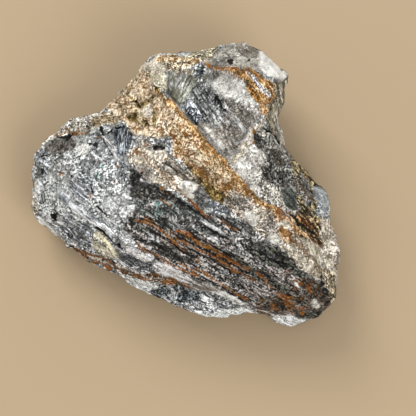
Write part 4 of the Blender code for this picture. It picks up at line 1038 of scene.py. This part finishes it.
def drawOn(name, chosen, gap, half):
    # Rust and black are kept as how fully they cover, most at the middle. Minerals are laid on.
    shown = painted[chosen]
    if name in stains:
        cover = shown * np.clip(coat["thickest"] - coat["fade"] * gap / half, 0, 1)
        stains[name][chosen] = np.maximum(stains[name][chosen], cover)
    else:
        layOn(name, chosen, shown * smoothstep(half + coat["softEdge"], half - coat["softEdge"], gap))


for name, width, depth, line in strokes:
    half = width / 2
    chosen, u, v = nearby(line, 2 * half, *coat["strokeWander"])
    gap = gapTo(line, u, v)
    drawOn(name, chosen, gap, half)
    step[chosen] -= depth * painted[chosen] * smoothstep(half + coat["strokeEdge"], 0, gap)

for name, radius, places in spots:
    for place in places:
        chosen, u, v = nearby([place], 2 * radius, 1, 1)
        drawOn(name, chosen, np.hypot(u - place[0], v - place[1]), radius)
print("coat:", len(areas), "patches,", len(strokes), "strokes")

# Fine relief, in mm: blocks and grains are chips of rock, and fibres are ribs along the fan.
relief = {
    "block": 4.2, "blockTilt": 0.65, "blockStep": 0.2, "blockCrack": 0.25,
    "grain": 1.7, "grainTilt": 0.2, "grainStep": 0.1, "grainCrack": 0.06,
    "rib": 1.2, "ribTilt": 0.06, "ribStep": 0.12, "ribThrough": 1.5,  # ribs go this many times deeper
    "fineGrain": 0.9, "fineStep": 0.06,
    "crackCloud": 5.0, "crackShare": 0.3,  # cracks open and close over this much of that cloud
    "sugarBlock": 0.2, "sugarCloud": 3.4, "sugarShare": 0.25,  # how contrast differs by block and cloud
    "flatBelow": 0.2, "fullAbove": 3.0,  # the relief dies out towards the table
}
# Where the stone is hardly fibrous, and out of the viewer's sight, the needles run block by block.
looseNeedles = {
    "upTo": 0.35,  # how fibrous such stone is at most
    "turn": 1.1,  # radians from the fibres' mean direction, in grainy stone
    "sideTurn": 0.2,  # and in fibrous stone
    "offFace": 0.8,  # mm from the streaked face's fitted surface, where needles go loose too
    "through": 0.3,  # patterns are this much finer across the needles than through the surface
    "apart": 40,  # mm between the patterns of two blocks, so that they differ
}

fibre, sugar, rough, rustShare, blackShare, chipped, ribbed = nature.T
grainPlane, grainId, grainEdge = chips(pointsMm, relief["grain"], 70)[:3]
fineId = chips(pointsMm, relief["fineGrain"], 90)[1]
blockPlane, blockId, blockEdge, blockOffset = chips(pointsMm, relief["block"], 100)

# Loose needles lie in the surface: one normal for each block, the fibres' mean direction laid flat on
# it, and that direction turned by the block's own angle.
grainy = fibre <= looseNeedles["upTo"]
offFace = np.abs(fibreAt[:, 2]) > looseNeedles["offFace"]
loose = np.flatnonzero((away > 0.5) | fanned & (offFace | grainy))
blocks, blockOf = np.unique(blockId, return_inverse=True)
normal = np.stack([np.bincount(blockOf, smoothNormals[:, k], len(blocks)) for k in range(3)], axis=1)
normal = (normal / np.linalg.norm(normal, axis=1)[:, None])[blockOf[loose]]
mean = np.array((math.cos(fibres["slope"]), math.sin(fibres["slope"]), fibres["rise"]))
first = mean - normal * (normal @ mean)[:, None]
first /= np.linalg.norm(first, axis=1)[:, None]
second = np.cross(normal, first)
turn = (blockId * np.where(grainy, looseNeedles["turn"], looseNeedles["sideTurn"]))[loose]
needles = np.cos(turn)[:, None] * first + np.sin(turn)[:, None] * second
offset = blockOffset[loose]
fibreAt[loose] = np.stack([
    (offset * np.cross(normal, needles)).sum(axis=1),
    (offset * needles).sum(axis=1) * fibres["stretch"],
    (offset * normal).sum(axis=1) * looseNeedles["through"] + looseNeedles["apart"] * blockId[loose],
], axis=1)
ribPlane, ribId = chips(fibreAt / (1, 1, relief["ribThrough"]), relief["rib"], 80)[:2]

# Some blocks are smooth crystal faces and others are sugary.
sugarCloud = np.clip(2 * cloudNoise(pointsMm, relief["sugarCloud"], 72), -1, 1)
sugar = sugar * (1 + relief["sugarBlock"] * blockId + relief["sugarShare"] * sugarCloud)
crackCloud = cloudNoise(pointsMm, relief["crackCloud"], 65)
cracks = blockEdge * smoothstep(-relief["crackShare"], relief["crackShare"], crackCloud)
height = step + chipped * (relief["grainTilt"] * grainPlane + relief["grainStep"] * grainId)
height += chipped * (relief["blockTilt"] * blockPlane + relief["blockStep"] * blockId)
height += chipped * relief["fineStep"] * fineId
height -= chipped * (relief["blockCrack"] * cracks + relief["grainCrack"] * grainEdge)
height += ribbed * (relief["ribStep"] * ribId + relief["ribTilt"] * ribPlane)
height *= smoothstep(relief["flatBelow"], relief["fullAbove"], pointsMm[:, 2])
points += baseNormals * (height * mm)[:, None]
points[:, 2] = np.maximum(points[:, 2], 0)

# Each grain and rib has its own brightness: partly the stone's own tone, and partly painted light and shade
# for chips that face the light differently. Cracks between chips and the edges of grains get painted shade.
shading = {
    "grains": (0.35, 0.3, 0.3),  # of block, grain and fine grain, where the stone is grainy
    "fibres": (0.1, 0.25, 0.25),  # of block, rib and fine grain, where it is fibrous
    "cloud": (0.4, 0.2),  # of a broad cloud, where it is grainy and where it is fibrous
    "cloudSize": 3.2,
    # crack and grainEdge darken the cracks between chips and the edges of grains with painted shade.
    "crack": 1.2,
    "grainEdge": 0.25,
}
shade = (1 - fibre) * (np.array(shading["grains"]) @ (blockId, grainId, fineId))
shade += fibre * (np.array(shading["fibres"]) @ (blockId, ribId, fineId))
cloudShare = shading["cloud"][0] + fibre * (shading["cloud"][1] - shading["cloud"][0])
shade += cloudShare * cloudNoise(pointsMm, shading["cloudSize"], 64)
shade -= chipped * (shading["crack"] * cracks + shading["grainEdge"] * grainEdge)
print("relief: from", round(height.min(), 2), "to", round(height.max(), 2), "mm")

mesh = piece.data
mesh.vertices.foreach_set("co", points.astype(np.float32).ravel())
mesh.update()
mesh.shade_smooth()


def keep(name, values, kind="FLOAT"):
    # Stores one value or vector for each point of the skin.
    attribute = mesh.attributes.new(name, kind, "POINT")
    attribute.data.foreach_set("value" if kind == "FLOAT" else "vector", values.astype(np.float32).ravel())


keep("darkTone", tones[:, 0:3], "FLOAT_VECTOR")
keep("middleTone", tones[:, 3:6], "FLOAT_VECTOR")
keep("brightTone", tones[:, 6:9], "FLOAT_VECTOR")
keep("fibreAt", fibreAt, "FLOAT_VECTOR")
keep("fibre", fibre)
keep("sugar", sugar)
keep("rough", rough)
keep("shade", shade)
keep("rust", np.maximum(stains["rust"], rustShare))
keep("black", np.maximum(stains["black"], blackShare))

# The finish of the stone. Each pattern has a kind, what it follows, its size in mm, and how far it moves
# the tone where the stone is grainy and where it is fibrous. The last two only break up the rust. Single
# crystals and needles are drawn at 0.25 to 0.4 mm, the finest that can be told apart from a step away.
patterns = {
    "cloud": ("patches", "stone", 2.9, 0.12, 0.05),
    "splash": ("patches", "stone", 1.0, 0.1, 0.05),
    "lump": ("cells", "stone", 1.9, 0.15, 0.05),
    "sugar": ("cells", "stone", 0.8, 0.25, 0.2),
    "crystal": ("cells", "stone", 0.38, 3.0, 1.8),
    "dust": ("noise", "stone", 0.26, 5.0, 3.6),
    "web": ("rims", "stone", 0.8, 0.6, 0.2),
    "lumpRim": ("rims", "stone", 3.3, 0.25, 0.0),
    "crack": ("lines", "stone", 2.4, -0.4, -0.2),
    "bundle": ("patches", "fibres", 1.9, 0.05, 0.1),
    "strand": ("patches", "fibres", 0.8, 0.05, 0.15),
    "needle": ("cells", "fibres", 0.34, 0.5, 4.0),
    "hair": ("noise", "fibres", 0.25, 1.4, 6.5),
    "whiteLine": ("lines", "fibres", 1.5, 0.2, 0.2),
    "blackLine": ("lines", "fibres", 1.1, -0.1, -0.6),
    "rustSpeck": ("noise", "stone", 1.2, 0.0, 0.0),
    "rustStreak": ("noise", "fibres", 0.3, 0.0, 0.0),
}
finish = {
    "lineHalf": 0.025,  # a line is drawn where its noise is this close to its mean
    "rimHalf": 0.1,  # a rim is drawn this near to the edge of its cell, in shares of the cell
    "rimTones": (0.3, 1.3),  # away from a rim and on it
    "patchEdge": 0.03,  # a patch turns over this much of its noise on each side of its mean
    "noiseDetail": 2.5,
    "noiseRoughness": 0.6,
    "noiseApart": 1.7,  # how far along their fourth coordinate two noises lie apart
    "grainDistortion": 0.3,
    # shade: painted light and shade of the relief's chips and cracks, together with their own tone.
    "shade": 0.35,  # how much the grains of the relief differ in tone
    "rustBroken": 2.8,  # how strongly specks and streaks break up the rust
    "rustByBlack": -0.4,  # rust keeps off the black lines
    "blackIn": {"crystal": -0.45, "splash": -0.25},  # black comes where these patterns are dark
    "rustDark": "1c0f04",
    "rustOrange": "a4560e",
    "rustGold": "865c22",
    # The black of tourmaline, also used as painted shade in crevices and pits.
    "tourmaline": "100f0e",
    "roughBySugar": 0.3,
    "ior": 1.54,
    "gloss": 0.15,  # under the usual 0.5, because broken grains shade each other
    "bump": 0.2,  # mm
}
# What each colour of the finish starts at and where it covers fully.
covers = {
    "middle": (-0.3, 0.5),
    "bright": (0.5, 1.3),
    "rust": (0.44, 0.56),
    "black": (0.44, 0.54),
    "orangeRust": (-0.5, 0.8),
    "goldStrand": (-0.2, 0.9),
    "goldInGrains": (0.9, -0.9),
    "paleRust": (1.0, 2.2),
}


def addNode(tree, kind, inputs=(), output=0, **settings):
    # Adds a node with its settings and links, and gives back one of its outputs. Each input is a
    # value, or the output that feeds it.
    node = tree.nodes.new(kind)
    for setting, value in settings.items():
        setattr(node, setting, value)
    for socket, value in dict(inputs).items():
        if isinstance(value, bpy.types.NodeSocket):
            tree.links.new(value, node.inputs[socket])
        else:
            node.inputs[socket].default_value = value
    return node.outputs[output]


def brokenQuartz():
    # Broken tourmalinated quartz. The lump was split off, so its quartz shows sugary broken grains, which
    # scatter the light and look milky, and its black tourmaline shows bundles of split needles with a
    # satin gloss. Water left rust in the cracks and on the open slope, which dried dull. Each point
    # carries three tones, and a pattern of grains and needles picks among them.
    material = bpy.data.materials.new("broken_tourmalinated_quartz")
    material.use_nodes = True
    tree = material.node_tree
    shader = tree.nodes["Principled BSDF"]
    stored = {
        name: addNode(tree, "ShaderNodeAttribute", output=output, attribute_name=name)
        for name, output in {
            "darkTone": "Color", "middleTone": "Color", "brightTone": "Color", "fibreAt": "Vector",
            "fibre": "Fac", "sugar": "Fac", "rough": "Fac", "shade": "Fac", "rust": "Fac", "black": "Fac",
        }.items()
    }
    colours = {
        name: (*linear(finish[name]), 1) for name in ("rustDark", "rustOrange", "rustGold", "tourmaline")
    }
    place = addNode(tree, "ShaderNodeTexCoord", output="Object")

    # The patterns: noise, patches (noise that turns over sharply at its mean), cells of one random
    # value each, rims along the edges of cells, and lines where a noise crosses its mean. Two weighted
    # sums of them are kept, for grainy and for fibrous stone, and sugar is their contrast.
    grainy, fibrous = 0.0, 0.0
    pattern = {}
    for seed, (name, (kind, follows, size, inGrains, inFibres)) in enumerate(patterns.items()):
        onStone = follows == "stone"
        vector, unit = (place, mm) if onStone else (stored["fibreAt"], 1)
        inputs = {"Vector": vector, "Scale": 1 / (size * unit)}
        if kind == "cells":
            value = addNode(tree, "ShaderNodeTexVoronoi", inputs, output="Color")
        elif kind == "rims":
            value = addNode(
                tree, "ShaderNodeTexVoronoi", inputs, output="Distance", feature="DISTANCE_TO_EDGE",
            )
            half, (off, on) = finish["rimHalf"], finish["rimTones"]
            value = addNode(tree, "ShaderNodeMapRange", {0: value, 1: half, 2: 0.0, 3: off, 4: on})
        else:
            inputs.update({
                "W": finish["noiseApart"] * seed, "Detail": finish["noiseDetail"],
                "Roughness": finish["noiseRoughness"],
                "Distortion": finish["grainDistortion"] if onStone else 0.0,
            })
            value = addNode(tree, "ShaderNodeTexNoise", inputs, noise_dimensions="4D")
        value = addNode(tree, "ShaderNodeMath", {0: value, 1: 0.5}, operation="SUBTRACT")
        if kind == "patches":
            edge = finish["patchEdge"]
            value = addNode(tree, "ShaderNodeMapRange", {0: value, 1: -edge, 2: edge, 3: -0.5, 4: 0.5})
        if kind == "lines":
            half = finish["lineHalf"]
            value = addNode(tree, "ShaderNodeMath", {0: value}, operation="ABSOLUTE")
            value = addNode(tree, "ShaderNodeMapRange", {0: value, 1: half, 2: 0.0, 3: 0.0, 4: 1.0})
        pattern[name] = value
        if inGrains:
            grainy = addNode(tree, "ShaderNodeMath", {
                0: value, 1: inGrains, 2: grainy,
            }, operation="MULTIPLY_ADD")
        if inFibres:
            fibrous = addNode(tree, "ShaderNodeMath", {
                0: value, 1: inFibres, 2: fibrous,
            }, operation="MULTIPLY_ADD")
    tone = addNode(tree, "ShaderNodeMix", {0: stored["fibre"], 2: grainy, 3: fibrous}, data_type="FLOAT")
    tone = addNode(tree, "ShaderNodeMath", {0: tone, 1: stored["sugar"], 2: 0.5}, operation="MULTIPLY_ADD")
    tone = addNode(tree, "ShaderNodeMath", {
        0: stored["shade"], 1: finish["shade"], 2: tone,
    }, operation="MULTIPLY_ADD")

    # Rust is thickest along the painted strokes, and black tourmaline comes in crisp grains. The same
    # black, laid by a few strokes and a spot, is painted shade in crevices and pits.
    broken = addNode(tree, "ShaderNodeMix", {
        0: stored["fibre"], 2: pattern["rustSpeck"], 3: pattern["rustStreak"],
    }, data_type="FLOAT")
    rust, black = stored["rust"], stored["black"]
    for value, strength in ((broken, finish["rustBroken"]), (pattern["blackLine"], finish["rustByBlack"])):
        rust = addNode(tree, "ShaderNodeMath", {0: value, 1: strength, 2: rust}, operation="MULTIPLY_ADD")
    for name in ("crystal", "splash"):
        black = addNode(tree, "ShaderNodeMath", {
            0: pattern[name], 1: finish["blackIn"][name], 2: black,
        }, operation="MULTIPLY_ADD")

    def layered(colour, layers):
        # Lays each colour over the last, from where its share is low to where it is high.
        for share, cover, over in layers:
            low, high = covers[cover]
            share = addNode(tree, "ShaderNodeMapRange", {0: share, 1: low, 2: high})
            inputs = {0: share, 6: colour, 7: over}
            colour = addNode(tree, "ShaderNodeMix", inputs, output=2, data_type="RGBA")
        return colour

    stain = layered(colours["rustDark"], [
        (tone, "orangeRust", colours["rustOrange"]),
        (pattern["strand"], "goldStrand", colours["rustGold"]),
        (stored["fibre"], "goldInGrains", colours["rustGold"]),
        (tone, "paleRust", stored["brightTone"]),
    ])
    colour = layered(stored["darkTone"], [
        (tone, "middle", stored["middleTone"]),
        (tone, "bright", stored["brightTone"]),
        (rust, "rust", stain),
        (black, "black", colours["tourmaline"]),
    ])

    roughness = addNode(tree, "ShaderNodeMath", {
        0: pattern["sugar"], 1: finish["roughBySugar"], 2: stored["rough"],
    }, operation="MULTIPLY_ADD", use_clamp=True)
    bump = addNode(tree, "ShaderNodeBump", {
        "Height": addNode(tree, "ShaderNodeMath", {0: tone, 1: 0.0}, operation="ADD", use_clamp=True),
        "Distance": finish["bump"] * mm, "Strength": 1.0,
    }, output="Normal")
    shader.inputs["IOR"].default_value = finish["ior"]
    shader.inputs["Specular IOR Level"].default_value = finish["gloss"]
    tree.links.new(colour, shader.inputs["Base Color"])
    tree.links.new(roughness, shader.inputs["Roughness"])
    tree.links.new(bump, shader.inputs["Normal"])
    return material


mesh.materials.append(brokenQuartz())
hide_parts("tourmalinated_quartz")
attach(piece, "root")
print("finish: one material")

# The stage: a plain pale floor, soft light from above, and the viewer's own place for the camera.
stage = {
    "floorHalf": 1.5,
    "floorColour": "9a866a",
    "floorRoughness": 0.9,
    "gap": 0.2 * mm,  # between the floor and the stone's flat underside
    "skyColour": "eef1f5",
    "skyStrength": 0.9,
    "lampSize": 0.5,
    "lamps": [((-0.45, 0.62, 0.75), 9.0), ((0.4, -0.62, 0.72), 7.0)],  # (place, watts)
}


def makeFloor():
    # Plain pale card: pressed flat and never polished, so it stays matt and shows only the soft shadow.
    half = stage["floorHalf"]
    sides = ((-half, -half), (half, -half), (half, half), (-half, half))
    corners = [(x, y, -stage["gap"]) for x, y in sides]
    mesh = bpy.data.meshes.new("floor")
    mesh.from_pydata(corners, [], [(0, 1, 2, 3)])
    floor = bpy.data.objects.new("floor", mesh)
    bpy.context.scene.collection.objects.link(floor)
    material = bpy.data.materials.new("pale_floor")
    material.use_nodes = True
    shader = material.node_tree.nodes["Principled BSDF"]
    shader.inputs["Base Color"].default_value = (*linear(stage["floorColour"]), 1)
    shader.inputs["Roughness"].default_value = stage["floorRoughness"]
    mesh.materials.append(material)


def makeLight():
    sky = bpy.data.worlds.new("sky")
    sky.use_nodes = True
    background = sky.node_tree.nodes["Background"]
    background.inputs["Color"].default_value = (*linear(stage["skyColour"]), 1)
    background.inputs["Strength"].default_value = stage["skyStrength"]
    bpy.context.scene.world = sky
    for place, watts in stage["lamps"]:
        lamp = bpy.data.lights.new("soft_lamp", "AREA")
        lamp.size = stage["lampSize"]
        lamp.energy = watts
        holder = bpy.data.objects.new("soft_lamp", lamp)
        bpy.context.scene.collection.objects.link(holder)
        holder.location = place
        holder.rotation_euler = (-holder.location).to_track_quat("-Z", "Y").to_euler()


def makeCamera():
    camera = bpy.data.cameras.new("viewer")
    camera.sensor_width = 36
    camera.lens = camera.sensor_width * view["distance"] / view["width"]
    camera.clip_start, camera.clip_end = 0.01, 10
    holder = bpy.data.objects.new("viewer", camera)
    bpy.context.scene.collection.objects.link(holder)
    away = (0, -math.cos(view["elevation"]), math.sin(view["elevation"]))
    holder.location = (np.array(view["target"]) + np.array(away) * view["distance"]) * mm
    holder.rotation_euler = (math.pi / 2 - view["elevation"], 0, 0)
    bpy.context.scene.camera = holder


makeFloor()
makeLight()
makeCamera()
bpy.context.scene.view_settings.view_transform = "Standard"
